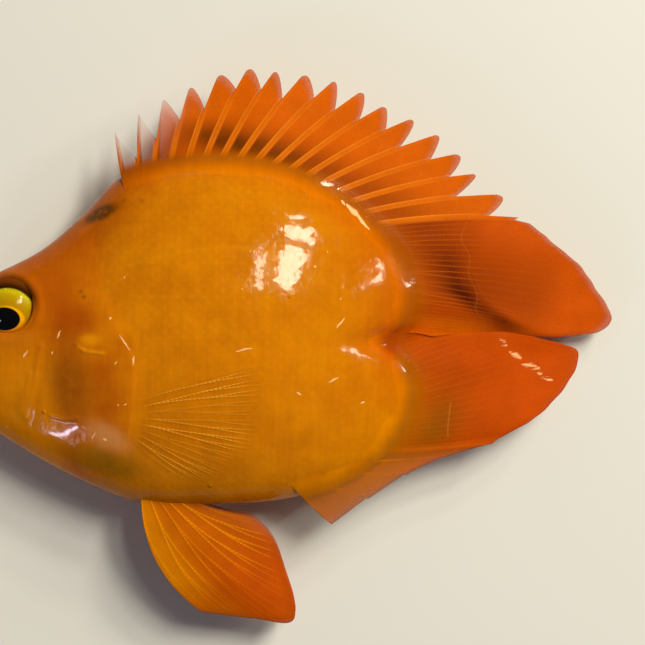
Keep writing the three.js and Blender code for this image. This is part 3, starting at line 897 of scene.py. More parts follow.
print("fins")
finSheet = {
    # Points between two rays
    "stations": (0, 0.03, 0.07, 0.12, 0.19, 0.28, 0.38, 0.5, 0.62, 0.72, 0.81, 0.88, 0.93, 0.97),
    "rows": 64,
    "nudge": 0.05,  # the rays' spacing is measured this share of a ray to both sides
    "membrane": 0.14,
    "marginShare": 0.6,
    "marginRound": 30,  # a high power closes the sheet only at its margin
    "marginLeast": 0.02,  # square of the share of the thickness that is left at the very margin
    "leaves": 1.9,  # the flesh of a fin's root leaves the flank this far inside the rim
    "sinks": 0.3,  # inside that it sinks under the flank, by this times the distance squared
    "sheetFull": 0.5,  # the sheet has its full thickness this far from the body
    "sag": 3.2,  # droop at sagAt from the body
    "sagAt": 20,
    "sagPower": 1.6,
    "liftsOver": 2,  # a lifted end rises over this distance from the body
    "liftPower": 3,
    "rootDepth": 2.9,
    "ridgesFrom": (-0.5, 2.0),  # the rays' ridges rise between these distances from the body
    "ridgeTaper": 0.75,
    "freeRoot": 0.6,  # a fin that isn't on the rim starts this far inside the body
    "flareFrom": 0.9,
    "flareFades": 1.1,
    "fleshy": (0.7, 1.8),  # the body's colour fades out this far over the spines and over the soft rays
    "fleshyPower": 1.6,
}
rayLight = srgb(250, 172, 66)


def branches(fin, across, gap, out, soft):  # distance to the nearest ray; soft rays part towards the margin
    first = fin["branch"][0] * smoothstep(*fin["firstFork"], out) * soft
    second = fin["branch"][1] * smoothstep(*fin["secondFork"], out) * soft
    side = np.abs(across - np.round(across))
    return np.abs(np.abs(side - first) - second) * gap


def fan(count, roots, margin, bow, first=0):  # table of ray number, root, tip and bow, in even steps
    share = np.linspace(0, 1, 12 * (count - 1) + 1)
    tips = alongCurve(spline(margin, closed=False), share)
    return np.column_stack([first + share * (count - 1), roots(share), tips, lerp(*bow, share)])


def rootsOnRim(start, end):
    def at(share):
        spots = alongCurve(outline, lerp(start, end, share))
        return spots * (1 - finSheet["rootDepth"] / np.hypot(*spots.T))[:, None]

    return at


def beyondRim(x, y):
    return np.hypot(x, y) - np.interp(np.arctan2(y, x), rimAngles, rimTable)


def flesh(x, y, away):  # half thickness of a fin's fleshy root, which runs on smoothly from the flank
    angle = np.arctan2(y, x)
    rim = np.interp(angle, rimAngles, rimTable)
    step = 0.1
    near = []
    for inside in (finSheet["leaves"] + step, finSheet["leaves"] - step):
        nearX, nearY = (rim - inside) * np.cos(angle), (rim - inside) * np.sin(angle)
        near.append(halfThickness(nearX, rimShare(nearX, nearY)))
    half = (near[0] + near[1]) / 2
    past = away + finSheet["leaves"]
    outside = half * np.exp(-np.maximum(past, 0) * (near[0] - near[1]) / (2 * step * half))
    inside = halfThickness(x, rimShare(x, y)) - finSheet["sinks"] * past**2
    return np.where(past < 0, inside, outside)


def onMidline(ripple, cycles, lift, liftFrom):  # cycles lists ray numbers and the ripples passed by then
    def height(place, out, x, y):
        away = np.maximum(beyondRim(x, y), 0)
        wave = ripple * out * np.sin(np.interp(place, *cycles) * 2 * math.pi)
        share = np.clip((place - liftFrom) / (cycles[0][-1] - liftFrom), 0, 1)
        droop = finSheet["sag"] * (away / finSheet["sagAt"]) ** finSheet["sagPower"]
        raised = lift * np.minimum(1, away / finSheet["liftsOver"]) * share ** finSheet["liftPower"]
        return midZ - droop + wave + raised

    return height


def alongRay(rays, place, out):  # the point at a share of a ray's length, and that length
    rootX, rootY, tipX, tipY, bow = [np.interp(place, rays[:, 0], rays[:, k]) for k in range(1, 6)]
    dx, dy = tipX - rootX, tipY - rootY
    length = np.hypot(dx, dy)
    bulge = bow * 4 * out * (1 - out) / length
    return rootX + dx * out - dy * bulge, rootY + dy * out + dx * bulge, length


def firstEdge(x, y, column, row):  # edge of the fin's middle cell, to tell which way the sheet faces
    i, j = x.shape[0] // 2, x.shape[1] // 2
    return x[i + column, j + row] - x[i, j], y[i + column, j + row] - y[i, j]


def buildFin(name, fin, material):
    rays = fin["rays"]
    last = int(rays[-1, 0])
    across = np.concatenate([[i + s for s in finSheet["stations"]] for i in range(last)] + [[last]])
    between = across - np.minimum(np.floor(across), last - 1)
    rows = np.linspace(0, 1, finSheet["rows"])
    place = across[:, None] + 0 * rows[None, :]
    reach = fin["reach"](across, between)[:, None]
    out = rows[None, :] * reach
    x, y, length = alongRay(rays, place, out)
    sideX, sideY, _ = alongRay(rays, place + finSheet["nudge"], out)
    otherX, otherY, _ = alongRay(rays, place - finSheet["nudge"], out)
    gap = np.hypot(sideX - otherX, sideY - otherY) / (2 * finSheet["nudge"])
    away = beyondRim(x, y) if fin["onRim"] else out * length - finSheet["freeRoot"]
    z = fin["height"](place, out, x, y)

    soft = smoothstep(*fin["softFrom"], place)
    sheet = finSheet["membrane"] / 2 * lerp(1, finSheet["marginShare"], out)
    narrow = lerp(fin["spineWidth"], fin["rayWidth"], soft)
    height = lerp(fin["ridge"], fin["softRidge"], soft) * smoothstep(*finSheet["ridgesFrom"], away)
    ridge = height * (1 - finSheet["ridgeTaper"] * out) * bell(branches(fin, place, gap, out, soft), narrow)
    if fin["onRim"]:
        sheet = sheet * smoothstep(-finSheet["leaves"], finSheet["sheetFull"], away)
        root = flesh(x, y, away)
    else:
        root = fin["flare"] * np.exp(-np.maximum(away + finSheet["flareFrom"], 0) / finSheet["flareFades"])
    closing = 1 - rows[None, :] ** finSheet["marginRound"]
    closing = np.sqrt(np.maximum(closing, finSheet["marginLeast"]))
    half = (sheet + ridge + root) * closing

    number = np.arange(out.size).reshape(out.shape)
    quads = [number[:-1, :-1], number[1:, :-1], number[1:, 1:], number[:-1, 1:]]
    quads = np.stack(quads, axis=-1).reshape(-1, 4)
    loop = np.concatenate([number[:-1, 0], number[-1, :-1], number[:0:-1, -1], number[0, :0:-1]])
    walls = np.stack([np.roll(loop, -1), loop, loop + out.size, np.roll(loop, -1) + out.size], axis=-1)
    faces = np.concatenate([quads, quads[:, ::-1] + out.size, walls])
    column, row = firstEdge(x, y, 1, 0), firstEdge(x, y, 0, 1)
    if column[0] * row[1] < column[1] * row[0]:
        faces = faces[:, ::-1]
    upper = np.stack([x, y, z + half], axis=-1).reshape(-1, 3)
    under = np.stack([x, y, z - half], axis=-1).reshape(-1, 3)
    fleshyReach = lerp(*finSheet["fleshy"], soft)
    tones = {
        "across": place,
        "gap": gap,
        "out": out,
        "along": out * length,
        "away": away,
        "margin": (reach - out) * length,
        "soft": soft,
        "thin": fin["thin"](place),
        "darkAndShadow": fin["darkAndShadow"](place / last, away),
        "bright": fin["bright"](place / last, away),
        "hem": (out - fin["hem"](between)[:, None]) * length,
        "fold": fin["fold"](place / last, away),
        "fleshy": np.exp(-(np.maximum(away, 0) / fleshyReach) ** finSheet["fleshyPower"]),
    }
    if fin["onRim"]:
        tones |= markings(x, y, np.minimum(rimShare(x, y), 1))
    doubled = {tone: np.tile(values.ravel(), 2) for tone, values in tones.items()}
    piece = pieceFrom(name, np.concatenate([upper, under]), faces, material, doubled)
    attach(piece, "root")
    return piece


web = {
    "cloudy": 0.7,  # the painted shadow band's least strength where the clouds thin it
    "nearSpine": (0.25, 0.6),  # the band deepens between these distances from a spine
    "nearSpineShown": 0.15,
    "spineEdge": (0.6, 1.2),  # shares of a spine's half width over which it blends into the web
    "spineFade": (0.35, 0.95),
    "spineFaded": 0.2,
    "spineTipFrom": (1.0, 7.0),
    "light": {"at": 0.9, "edge": (0.02, 0.1), "sides": (-0.02, 0.02), "otherSide": 0.4},  # painted highlight along one edge of each spine, fainter on its other edge
    "rayEdge": (0.3, 1.2),
    "rayFaded": 0.22,
    "joints": {"edge": (-0.5, 0.8), "least": 0.65},
    "uneven": {"every": 2.1, "least": 0.55},
    "line": (0.03, 0.11),  # half width of a fold's line, sharp and blurred
    "fine": (0.95, 1.04),
    "clouds": (0.94, 1.05),
    "rough": (0.55, 0.7),
    "rootRough": 0.12,
    "rootRoughTo": (0.8, 1.8),
    "rootShade": {"to": 0.3, "least": 0.6},
    "wet": {"from": (-0.9, 0.0), "to": (0.1, 0.9), "coat": 0.5},
    "marginWide": 1.6,
    "grain": (0.985, 1.01),
    "bump": 0.3,
    "bumpDeep": 0.06,
    "ior": 1.4,
    "specular": 0.04,
    "coatRoughness": 0.03,
}


def finPaint(name, fin):
    paint = Paint(name)
    gap, out, soft, away = paint.tone("gap"), paint.tone("out"), paint.tone("soft"), paint.tone("away")
    signed = paint.maths("FRACT", paint.tone("across") + 0.5) - 0.5
    side = paint.distance(signed)
    first = paint.between(out, *fin["firstFork"]) * soft * fin["branch"][0]
    second = paint.between(out, *fin["secondFork"]) * soft * fin["branch"][1]
    fromRay = paint.distance(paint.distance(side - first) - second) * gap
    grain = paint.noise((1.2, 1.2, 1.2), 3.0)
    fine = paint.noise((5.0, 5.0, 5.0), 2.0)
    cloud = paint.noise((0.35, 0.35, 0.35), 3.0)

    firm = paint.blend(paint.between(away, *fin["brightens"]), fin["inner"], fin["outer"])
    loose = paint.blend(paint.between(away, *fin["softBrightens"]), fin["softInner"], fin["softOuter"])
    loose = paint.blend(paint.tone("bright"), loose, fin["softBright"])
    colour = paint.blend(soft, firm, loose)
    cloudy = paint.vary(cloud, web["cloudy"], 1.0)
    deep = paint.between(fromRay, *web["nearSpine"], web["nearSpineShown"], 1.0)
    deep = paint.blendValue(soft, deep, 1.0)
    dark = paint.blend(soft, fin["dark"], fin["softDark"])
    # Painted shadow over the membrane's own darker tone, darkest between the spines
    colour = paint.blend(paint.tone("darkAndShadow") * deep * cloudy, colour, dark)

    spineEdge = [fin["spineWidth"] * share for share in web["spineEdge"]]
    spine = paint.between(fromRay, *spineEdge, 1.0, 0.0) * (1 - soft)
    fade = paint.between(out, *web["spineFade"], 1.0, web["spineFaded"])
    spineTone = paint.blend(paint.between(away, *web["spineTipFrom"]), fin["spineRoot"], fin["spineTip"])
    colour = paint.blend(spine * fade * fin["spineShown"], colour, spineTone)
    # Painted highlight: a pale line along each spine's edge, brighter on one side than on the other
    light = web["light"]
    edge = paint.distance(fromRay - fin["spineWidth"] * light["at"])
    facing = paint.between(signed, *light["sides"], 1.0, light["otherSide"])
    edge = paint.between(edge, *light["edge"], 1.0, 0.0) * (1 - soft) * facing
    colour = paint.blend(edge * fade * fin["edgeShown"], colour, rayLight)

    joint = paint.maths("SINE", paint.tone("along") * (2 * math.pi / fin["joint"]))
    joints = paint.between(joint, *web["joints"]["edge"], web["joints"]["least"], 1.0)
    rayEdge = [fin["rayWidth"] * share for share in web["rayEdge"]]
    ray = paint.between(fromRay, *rayEdge, 1.0, 0.0) * soft
    shown = paint.between(away, *fin["rayFade"], fin["rayShown"], fin["rayShown"] * web["rayFaded"])
    varied = paint.maths("SINE", paint.tone("across") * web["uneven"]["every"])
    varied = paint.between(varied, -1.0, 1.0, web["uneven"]["least"], 1.0)
    ray = ray * joints * shown * varied * paint.between(out, *fin["rayEnds"], 1.0, 0.0)
    colour = paint.blend(ray, colour, fin["rayTone"])
    hem = paint.between(paint.distance(paint.tone("hem")), *web["line"], fin["hemShown"], 0.0) * (1 - soft)
    fold = paint.between(paint.distance(paint.tone("fold")), *web["line"], fin["foldShown"], 0.0)
    colour = paint.blend(hem + fold, colour, rayLight)
    colour = paint.times(colour, paint.vary(fine, *web["fine"]))
    colour = paint.times(colour, paint.vary(cloud, *web["clouds"]))
    coat = 0.0
    rough = paint.vary(grain, *web["rough"])
    if fin["onRim"]:
        shade = web["rootShade"]
        shade = paint.between(away, -finSheet["leaves"], shade["to"], 1.0, shade["least"])
        colour = paint.blend(paint.tone("fleshy"), colour, paint.times(skinColour(paint), shade))
        wet = web["wet"]
        coat = paint.between(away, *wet["to"], wet["coat"], 0.0) * paint.between(away, *wet["from"])
        rough = paint.blendValue(paint.between(away, *web["rootRoughTo"]), web["rootRough"], rough)
    # painted highlights on the fin
    if fin["glints"]:
        colour = paint.blend(paintedGlints(paint, fin["glints"]), colour, glintTone)

    margin = paint.between(paint.tone("margin"), 0.0, web["marginWide"], fin["alpha"][1], fin["alpha"][0])
    clear = margin * paint.tone("thin") * paint.vary(grain, *web["grain"])
    alpha = paint.maths("MAXIMUM", clear, (ray + spine * fade) * fin["rayAlpha"])
    alpha = paint.maths("MAXIMUM", alpha, paint.tone("fleshy") * fin["rootAlpha"])
    alpha = paint.maths("MINIMUM", alpha, 1.0) * paint.between(out, *fin["emerges"])
    sockets = {"Strength": web["bump"], "Distance": web["bumpDeep"] * millimetre, "Height": fine}
    return paint.finish(
        colour=colour,
        roughness=rough,
        normal=paint.node("ShaderNodeBump", {}, sockets),
        alpha=alpha,
        ior=web["ior"],
        specular=web["specular"],
        coat=coat,
        coatRoughness=web["coatRoughness"],
    )


lobes = {  # shape of the lappets, at the first spine and from the fifth one on
    "depth": (0.55, 0.23),
    "depthOdd": 0.04,
    "power": (0.6, 1.15),
    "powerOdd": 0.25,
    "tip": 0.045,
    "tipWide": 0.09,
    "lengthOdd": 0.02,
    "foldedDepth": 0.03,  # of the short lappets that lie folded together
    "foldedPower": 1.6,
}


def lappets(across, between):  # each lappet rises to its spine's tip and falls away to the next spine
    spine = np.floor(across + 1e-9)
    grown = smoothstep(0, 4, spine)
    depth = lerp(*lobes["depth"], grown) + lobes["depthOdd"] * np.sin(2.3 * spine + 1)
    power = lerp(*lobes["power"], grown) + lobes["powerOdd"] * np.sin(3.1 * spine)
    petal = 1 - lobes["tip"] * np.exp(-between / lobes["tipWide"]) - depth * between**power
    return petal * (1 + lobes["lengthOdd"] * np.sin(1.7 * spine))


def foldedLappets(across, between):
    return 1 - lobes["foldedDepth"] * between ** lobes["foldedPower"]


plainMargin = {"scallop": 0.005, "wave": 0.012, "waves": 1.1}


def evenMargin(across, between):
    scallops = plainMargin["scallop"] * np.sin(across * math.pi) ** 2
    return 1 - scallops - plainMargin["wave"] * np.sin(across * plainMargin["waves"]) ** 2


def thenEven(petals, change):  # lappets along the spines, then the plain margin of the soft rays
    def reach(across, between):
        even = smoothstep(change - 1, change, across)
        return lerp(petals(across, between), evenMargin(across, between), even)

    return reach


finDefaults = {
    "onRim": True,
    "glints": None,
    "reach": evenMargin,
    "softFrom": (-2, -1),
    "branch": (0.25, 0.125),
    "firstFork": (0.02, 0.35),
    "secondFork": (0.35, 0.85),
    "spineWidth": 0.34,
    "rayWidth": 0.1,
    "ridge": 0.05,
    "softRidge": 0.025,
    "joint": 0.42,
    "rayEnds": (0.85, 1.0),
    "brightens": (1.5, 6.0),
    "softBrightens": (4.0, 15.0),
    "inner": srgb(184, 78, 1),
    "outer": srgb(200, 89, 1),
    # dark and softDark: colours of the band of painted shadow over the darker membrane
    "dark": srgb(82, 38, 1),
    "spineRoot": srgb(206, 104, 1),
    "spineTip": srgb(212, 104, 3),
    "softInner": srgb(162, 62, 1),
    "softOuter": srgb(192, 77, 4),
    "softDark": srgb(72, 20, 1),
    "softBright": srgb(200, 84, 1),
    "rayTone": srgb(200, 92, 8),
    "spineShown": 0.75,
    "edgeShown": 0.35,
    "rayShown": 0.55,
    "rayFade": (5.0, 10.0),  # the rays show less past this distance from the body
    "hemShown": 0.0,
    "foldShown": 0.0,
    "alpha": (1.0, 0.86),
    "rayAlpha": 0.98,
    "rootAlpha": 1.0,
    "emerges": (-0.2, -0.1),  # the fin is clear before the first and full from the second share of its rays
    "hem": lambda between: np.full_like(between, 2.0),
    "fold": lambda share, away: away + 99,
    "thin": np.ones_like,
    "darkAndShadow": lambda share, away: np.zeros_like(away),
    "bright": lambda share, away: np.zeros_like(away),
}
dorsalSpines = 17
paintedShadowBand = np.array([  # course of the painted shadow band: share of the fin, distance from the body, width, strength
    (0.08, 3.4, 1.3, 0.0),
    (0.12, 3.0, 1.5, 0.6),
    (0.16, 2.4, 1.7, 1.0),
    (0.22, 1.6, 1.8, 1.0),
    (0.30, 1.2, 1.9, 0.8),
    (0.40, 1.2, 2.2, 0.5),
    (0.50, 2.6, 4.5, 0.45),
    (0.60, 4.6, 4.6, 0.4),
    (0.68, 4.8, 2.7, 0.75),
    (0.75, 5.8, 2.9, 1.0),
    (0.80, 9.0, 3.4, 1.0),
    (0.84, 12.0, 3.6, 1.0),
    (0.92, 15.0, 3.0, 0.0),
])
paintedShadowVeil = {"share": 0.74, "wide": 0.1, "strength": 0.45, "ends": (14, 20)}  # the fainter painted shadow past the band
dorsalFold = {"away": 7.2, "share": 0.68, "bow": 75, "ripple": 0.3, "ripples": 60, "from": 0.55}
outOfSight = 40  # moves a fold's line off the fin


def dorsalShadow(share, away):
    middle, width, strength = [np.interp(share, paintedShadowBand[:, 0], paintedShadowBand[:, k]) for k in (1, 2, 3)]
    beyond = smoothstep(middle - 1, middle + 3, away) * (1 - smoothstep(*paintedShadowVeil["ends"], away))
    veil = paintedShadowVeil["strength"] * beyond * bell(share - paintedShadowVeil["share"], paintedShadowVeil["wide"])
    return np.maximum(strength * bell(away - middle, width), veil)


def alongDorsalFold(share, away):
    course = dorsalFold["away"] + dorsalFold["bow"] * (share - dorsalFold["share"]) ** 2
    ripple = dorsalFold["ripple"] * np.sin(share * dorsalFold["ripples"])
    return away - course - ripple + outOfSight * (share < dorsalFold["from"])


dorsal = finDefaults | {
    "rays": np.concatenate([
        fan(
            dorsalSpines,
            rootsOnRim(0.2, 0.398),
            [
                (-8.7, 23.8),
                (-1.4, 28.5),
                (6.8, 30.9),
                (14.6, 30.2),
                (25.0, 25.8),
                (33.8, 18.9),
                (38.3, 13.6),
            ],
            (0.2, 0.7),
        ),
        fan(
            15,
            rootsOnRim(0.403, 0.514),
            [
                (39.3, 12.9),
                (42.0, 10.9),
                (45.6, 7.7),
                (48.4, 4.0),
                (49.1, 1.6),
                (46.9, 0.0),
                (37.6, -0.5),
                (29.6, -1.9),
            ],
            (0.7, 1.0),
            first=dorsalSpines,
        ),
    ]),
    "softFrom": (dorsalSpines - 1, dorsalSpines),
    "reach": thenEven(lappets, dorsalSpines),
    "height": onMidline(0.3, ((0, 16, 17, 31), (0, 3, 3, 5)), -1.5, dorsalSpines),
    "hem": lambda between: 0.7 - 0.16 * between + 0.06 * np.sin(between * math.pi),
    "hemShown": 0.05,
    "fold": alongDorsalFold,
    "foldShown": 0.06,
    "glints": backGlints,
    "softBright": srgb(212, 98, 1),
    "thin": lambda place: lerp(0.1, 1.0, smoothstep(1.0, 4.0, place)),
    "darkAndShadow": dorsalShadow,
    "bright": lambda share, away: smoothstep(0.84, 0.92, share) * (1 - smoothstep(9, 14, away)),
    "alpha": (1.0, 0.62),
}
analSpines = 5
analFold = {"away": 4.6, "share": 0.5, "bow": 30, "middle": 0.44, "half": 0.1}


def alongAnalFold(share, away):
    course = analFold["away"] + analFold["bow"] * (share - analFold["share"]) ** 2
    return away - course + outOfSight * (abs(share - analFold["middle"]) > analFold["half"])


anal = finDefaults | {
    "rays": np.concatenate([
        fan(
            analSpines,
            rootsOnRim(0.674, 0.617),
            [(16.3, -21.8), (20.7, -18.7), (25.8, -15.6), (30.6, -13.7), (34.8, -12.6)],
            (-0.2, -0.3),
        ),
        fan(
            12,
            rootsOnRim(0.612, 0.51),
            [
                (36.4, -11.6),
                (41.0, -8.9),
                (44.0, -5.4),
                (45.4, -1.9),
                (41.4, -0.6),
                (35.8, 0.4),
                (28.2, -0.3),
            ],
            (-0.3, 0.9),
            first=analSpines,
        ),
    ]),
    "softFrom": (analSpines - 2, analSpines),
    "reach": thenEven(foldedLappets, analSpines),
    "height": onMidline(0.25, ((0, 4, 5, 16), (0, 1, 1, 3)), 0.5, analSpines),
    "inner": srgb(196, 106, 1),
    "outer": srgb(198, 92, 1),
    "softInner": srgb(172, 66, 1),
    "softOuter": srgb(186, 70, 1),
    "dark": srgb(118, 76, 1),
    "softDark": srgb(118, 76, 1),
    "rayTone": srgb(196, 96, 4),
    "rayShown": 0.3,
    "spineShown": 0.5,
    "edgeShown": 0.3,
    "foldShown": 0.14,
    "glints": tailGlints,
    "fold": alongAnalFold,
    "thin": lambda place: lerp(0.62, 1.0, smoothstep(3.0, 4.6, place)),
    "darkAndShadow": lambda share, away: 0.8 * bell(away - 3.6, 2.4) * bell(share - 0.42, 0.16),
    "bright": lambda share, away: 0.7 * smoothstep(0.8, 0.95, share) * smoothstep(2, 5, away),
}


pelvic = {
    "root": (-5.4, -17.6),
    "rootRun": (3.4, -0.3),  # from the first ray's root to the last one's
    "stance": 1.9,  # how far the root stands from the middle
    "closes": 0.35,
    "droop": {1: 1.6, -1: 2.6},  # of the upper and of the lower fin
    "bright": {"strength": 0.9, "ends": (0.02, 0.42), "tip": (10, 15), "tipDims": 0.6},
}


def pelvicRoots(share):
    return np.stack([start + run * share for start, run in zip(pelvic["root"], pelvic["rootRun"])], axis=-1)


def pelvicBright(share, away):
    bright = pelvic["bright"]
    dimmed = 1 - bright["tipDims"] * smoothstep(*bright["tip"], away)
    return bright["strength"] * (1 - smoothstep(*bright["ends"], share)) * dimmed


def pelvicFin(side):
    def height(place, out, x, y):
        return midZ + side * pelvic["stance"] * (1 - pelvic["closes"] * out) - pelvic["droop"][side] * out**2

    return finDefaults | {
        "onRim": False,
        "rays": fan(
            6,
            pelvicRoots,
            [(1.3, -31.9), (6.8, -32.7), (12.0, -33.0), (11.3, -28.3), (9.6, -23.4), (7.1, -20.9)],
            (-2.1, -0.3),
        ),
        "height": height,
        "branch": (0.22, 0.1),
        "firstFork": (0.1, 0.6),
        "secondFork": (0.4, 0.9),
        "rayWidth": 0.12,
        "rayFade": (8.0, 16.0),
        "softRidge": 0.06,
        "flare": 0.8,
        "joint": 0.5,
        "softInner": srgb(190, 94, 1),
        "softOuter": srgb(182, 74, 1),
        "softBright": srgb(210, 124, 1),
        "bright": pelvicBright,
        "rayTone": srgb(240, 150, 8),
        "rayShown": 0.75,
        "thin": lambda place: lerp(1.0, 0.45, smoothstep(3.4, 5.0, place)),
        "alpha": (0.97, 0.8),
    }


pectoral = {
    "length": 17.3,
    "shorter": 7.0,
    "rays": 9,
    "bow": (0.4, -0.4),
    "clear": 0.17,
    "sunk": 0.9,
    "leavesBy": 0.1,  # share of its length by which the fin is clear of the flank
    "farthest": 0.85,  # past this share of the way to the rim the fin keeps its height
}
openPectoral = {"root": (-6.5, -9.6), "rootHeight": 3.4, "top": 22, "bottom": -46}
shutPectoral = {"root": (-6.5, -10.5), "rootHeight": 2.4, "top": -22, "bottom": -44}


def pectoralFin(side):
    lie = openPectoral if side > 0 else shutPectoral
    share = np.linspace(0, 1, 97)
    turn = np.radians(lerp(lie["top"], lie["bottom"], share))
    reach = pectoral["length"] - pectoral["shorter"] * share**2
    rootX, rootY = lie["root"]
    root = np.stack([0 * share + rootX, rootY + lie["rootHeight"] * (0.5 - share)], axis=-1)
    tip = np.stack([rootX + reach * np.cos(turn), rootY + reach * np.sin(turn)], axis=-1)
    rays = np.column_stack([share * (pectoral["rays"] - 1), root, tip, lerp(*pectoral["bow"], share)])

    def height(place, out, x, y):
        flank = halfThickness(x, np.minimum(rimShare(x, y), pectoral["farthest"]))
        lift = lerp(-pectoral["sunk"], pectoral["clear"], smoothstep(0, pectoral["leavesBy"], out))
        return midZ + side * (flank + lift)

    return finDefaults | {
        "onRim": False,
        "rays": rays,
        "height": height,
        "branch": (0.24, 0.12),
        "firstFork": (0.1, 0.6),
        "secondFork": (0.45, 0.9),
        "rayWidth": 0.08,
        "rayFade": (16.0, 18.0),
        "softRidge": 0.0,
        "flare": 0.0,
        "joint": 0.5,
        "softInner": srgb(196, 116, 2),
        "softOuter": srgb(206, 124, 4),
        "rayTone": srgb(255, 190, 60),
        "rayShown": 1.0,
        "rayEnds": (0.7, 1.0),
        "alpha": (0.05, 0.02),
        "rayAlpha": 0.5,
        "rootAlpha": 0.3,
        "emerges": (0.06, 0.22),
    }


finPieces = [
    ("dorsal_fin", dorsal, "fin_membrane", ["dorsal_fin_spiny", "dorsal_fin_soft"]),
    ("anal_fin", anal, "fin_membrane", ["anal_fin_spiny", "anal_fin_soft"]),
    ("pelvic_left", pelvicFin(1), "fin_membrane", ["pelvic_fin_left"]),
    ("pelvic_right", pelvicFin(-1), "fin_membrane", ["pelvic_fin_right"]),
    ("pectoral_left", pectoralFin(1), "clear_fin", ["pectoral_fin_left"]),
    ("pectoral_right", pectoralFin(-1), "clear_fin", ["pectoral_fin_right"]),
]
for name, fin, slot, nodes in finPieces:
    piece = buildFin(name, fin, finPaint(name + "Skin", fin))
    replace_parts(piece, *nodes)

# Eyes

print("eyes")
pupil = {"centre": (-20.6, 1.85), "reach": (1.8, 1.32), "edge": (0.95, 1.03), "tone": srgb(4, 5, 9)}
lid = {
    "centre": (-20.3, 2.15),
    "radius": 3.15,  # the dark rim, dark pigment with painted shadow under the lid, lies outside this circle
    "edge": (-0.12, 0.12),
    "fades": (0.1, 1.1),
    "covers": (-1.6, -0.2),  # the rim comes in from this height to that, from the eye's middle
    "inner": srgb(38, 21, 2),
    "outer": srgb(112, 52, 2),
}
iris = {
    "tones": (srgb(196, 148, 1), srgb(156, 112, 0)),
    "band": {"away": (1.5, 2.9), "above": (-0.8, 0.8), "strength": 0.85, "tone": srgb(186, 164, 1)},
    "sparks": {"away": (2.4, 2.95), "above": (0.2, 1.2), "strength": 0.8, "tone": srgb(236, 226, 40)},
    "sparkSize": (0.5, 0.62),
    "ring": {"shift": (-0.06, 0.1), "edge": (1.1, 1.3), "strength": 0.9, "tone": srgb(250, 176, 4)},
    "lower": {"below": (-2.0, -1.2), "away": (2.4, 3.1), "tone": srgb(196, 104, 2)},
}
glass = {"roughness": 0.6, "ior": 1.4, "specular": 0.02, "coat": 0.35, "coatRoughness": 0.02}
eyeRound = {"turns": 96, "rings": 48}


def eyePaint():
    paint = Paint("eyeGlass")
    grain = paint.noise((4.0, 4.0, 4.0), 3.0, 0.7)
    sparkle = paint.between(paint.noise((9.0, 9.0, 9.0), 2.0), *iris["sparkSize"])
    _, up, fromCentre = paint.awayFrom(eye["centre"])
    _, _, fromLid = paint.awayFrom(lid["centre"])
    px, py, fromPupil = paint.awayFrom(pupil["centre"], pupil["reach"])
    colour = paint.blend(grain, *iris["tones"])
    for arc, broken in ((iris["band"], 1.0), (iris["sparks"], sparkle)):
        shown = paint.between(fromLid, *arc["away"]) * paint.between(up, *arc["above"])
        colour = paint.blend(shown * broken * arc["strength"], colour, arc["tone"])
    ring = iris["ring"]
    rx, ry = px + ring["shift"][0], py + ring["shift"][1]
    onRing = paint.between((rx * rx + ry * ry) ** 0.5, *ring["edge"], 1.0, 0.0)
    colour = paint.blend(onRing * ring["strength"], colour, ring["tone"])
    # Dark pigment with painted shadow: the dark rim over the eye's upper edge, where the lid shades it
    edges = [lid["radius"] + each for each in lid["edge"]]
    dark = paint.between(fromLid, *edges) * paint.between(up, *lid["covers"])
    edges = [lid["radius"] + each for each in lid["fades"]]
    rimTone = paint.blend(paint.between(fromLid, *edges), lid["inner"], lid["outer"])
    colour = paint.blend(dark, colour, rimTone)
    lower = iris["lower"]
    shown = paint.between(up, *lower["below"], 1.0, 0.0) * paint.between(fromCentre, *lower["away"])
    colour = paint.blend(shown, colour, lower["tone"])
    colour = paint.blend(paint.between(fromPupil, *pupil["edge"], 1.0, 0.0), colour, pupil["tone"])
    return paint.finish(**glass | {"colour": colour, "coat": (1 - dark) * glass["coat"]})


def buildEye(side, name, material):
    turns, rings = eyeRound["turns"], eyeRound["rings"]
    turn = np.linspace(0, 2 * math.pi, turns, endpoint=False)
    rise = np.linspace(0, math.pi, rings + 1)[1:-1]
    ball = [(0, 0, 1)]
    ball += [(math.sin(r) * math.cos(a), math.sin(r) * math.sin(a), math.cos(r)) for r in rise for a in turn]
    ball.append((0, 0, -1))
    ball = np.array(ball) * (eye["radius"], eye["radius"], eye["depth"])
    lean = -side * eye["turn"]
    x = ball[:, 0] * math.cos(lean) + ball[:, 2] * math.sin(lean)
    z = ball[:, 2] * math.cos(lean) - ball[:, 0] * math.sin(lean)
    points = np.stack([x, ball[:, 1], z], axis=-1) + (*eye["centre"], midZ + side * eye["out"])

    def at(ring, k):
        return 1 + ring * turns + k % turns

    faces = [(0, at(0, k), at(0, k + 1)) for k in range(turns)]
    for ring in range(rings - 2):
        for k in range(turns):
            faces.append((at(ring, k), at(ring + 1, k), at(ring + 1, k + 1)))
            faces.append((at(ring, k), at(ring + 1, k + 1), at(ring, k + 1)))
    last = len(points) - 1
    faces += [(last, at(rings - 2, k + 1), at(rings - 2, k)) for k in range(turns)]
    piece = pieceFrom(name, points, faces, material, {})
    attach(piece, "root")
    return piece


eyeGlass = eyePaint()
for side, word in ((1, "left"), (-1, "right")):
    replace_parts(buildEye(side, f"eyeball_{word}", eyeGlass), f"eye_{word}")

# Camera

print("camera and light")
view = {"centre": (15.24, 1.44), "away": 260.0, "wide": 74.2, "sensor": 36, "clip": 10}
camera = bpy.data.objects.new("camera", bpy.data.cameras.new("camera"))
camera.data.sensor_width = view["sensor"]
camera.data.lens = view["sensor"] * view["away"] / view["wide"]
camera.data.clip_start = view["clip"] * millimetre
camera.location = Vector((*view["centre"], midZ + view["away"])) * millimetre
bpy.context.scene.collection.objects.link(camera)
bpy.context.scene.camera = camera

# Light

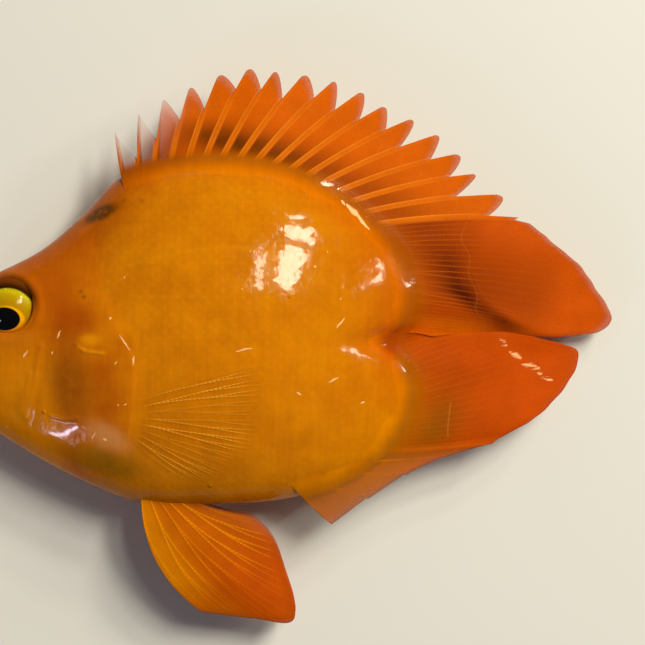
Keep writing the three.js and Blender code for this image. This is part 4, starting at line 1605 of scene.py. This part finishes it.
daylight = (1.0, 0.92, 0.7)
lilac = (0.9, 0.84, 1.0)
studio = {"away": 600, "sky": (1.0, 0.98, 0.95, 1.0), "skyStrength": 0.1}
lamps = [  # name, spot of the flank that mirrors it, size, turn about the line there, radiance and tint
    ("paneTop", (11.65, 13.5), (50, 42), 0.69, 41.0, daylight),
    ("paneHigh", (12.2, 11.5), (92, 66), 0.69, 41.0, daylight),
    ("paneLow", (11.2, 7.9), (76, 172), 0.69, 41.0, daylight),
    ("paneSide", (7.8, 7.4), (30, 145), 0.6, 33.0, daylight),
    ("paneRear", (21.0, 6.9), (18, 220), 0.46, 38.0, daylight),
    ("ceiling", (-14.0, -10.83), (6, 170), 0.11, 66.0, lilac),
]


def flankHeight(x, y):
    x, y = np.array([x], float), np.array([y], float)
    return float(halfThickness(x, rimShare(x, y))[0])


def placeLamp(name, spot, size, turn, radiance, tint):
    x, y = spot
    step = 0.2
    slopeX = flankHeight(x + step, y) - flankHeight(x - step, y)
    slopeY = flankHeight(x, y + step) - flankHeight(x, y - step)
    normal = Vector((-slopeX, -slopeY, 2 * step)).normalized()
    point = Vector((x, y, midZ + flankHeight(x, y)))
    toCamera = (camera.location / millimetre - point).normalized()
    mirrored = 2 * normal.dot(toCamera) * normal - toCamera
    light = bpy.data.lights.new(name, "AREA")
    light.shape = "RECTANGLE"
    light.size, light.size_y = [each * millimetre for each in size]
    light.energy = 4 * radiance * light.size * light.size_y
    light.color = tint
    lamp = bpy.data.objects.new(name, light)
    lamp.location = (point + studio["away"] * mirrored) * millimetre
    facing = mirrored.to_track_quat("Z", "Y")
    lamp.rotation_euler = (facing @ Quaternion((0, 0, 1), turn)).to_euler()
    bpy.context.scene.collection.objects.link(lamp)


for lamp in lamps:
    placeLamp(*lamp)

world = bpy.data.worlds.new("studio")
bpy.context.scene.world = world
world.use_nodes = True
world.node_tree.nodes["Background"].inputs["Color"].default_value = studio["sky"]
world.node_tree.nodes["Background"].inputs["Strength"].default_value = studio["skyStrength"]
bpy.context.scene.view_settings.view_transform = "Standard"

ground = {"tones": ((0.68, 0.69, 0.72, 1), (0.74, 0.75, 0.78, 1)), "roughness": 0.7, "halfWide": 1500}


def buildFloor():
    paint = Paint("paleFloor")
    mottle = paint.noise((0.01, 0.01, 0.01), 4.0)
    material = paint.finish(colour=paint.blend(mottle, *ground["tones"]), roughness=ground["roughness"])
    wide = ground["halfWide"]
    points = [(-wide, -wide, 0), (wide, -wide, 0), (wide, wide, 0), (-wide, wide, 0)]
    floor = pieceFrom("floor", points, [(0, 1, 2, 3)], material, {})


buildFloor()
bpy.context.view_layer.update()
print("done")
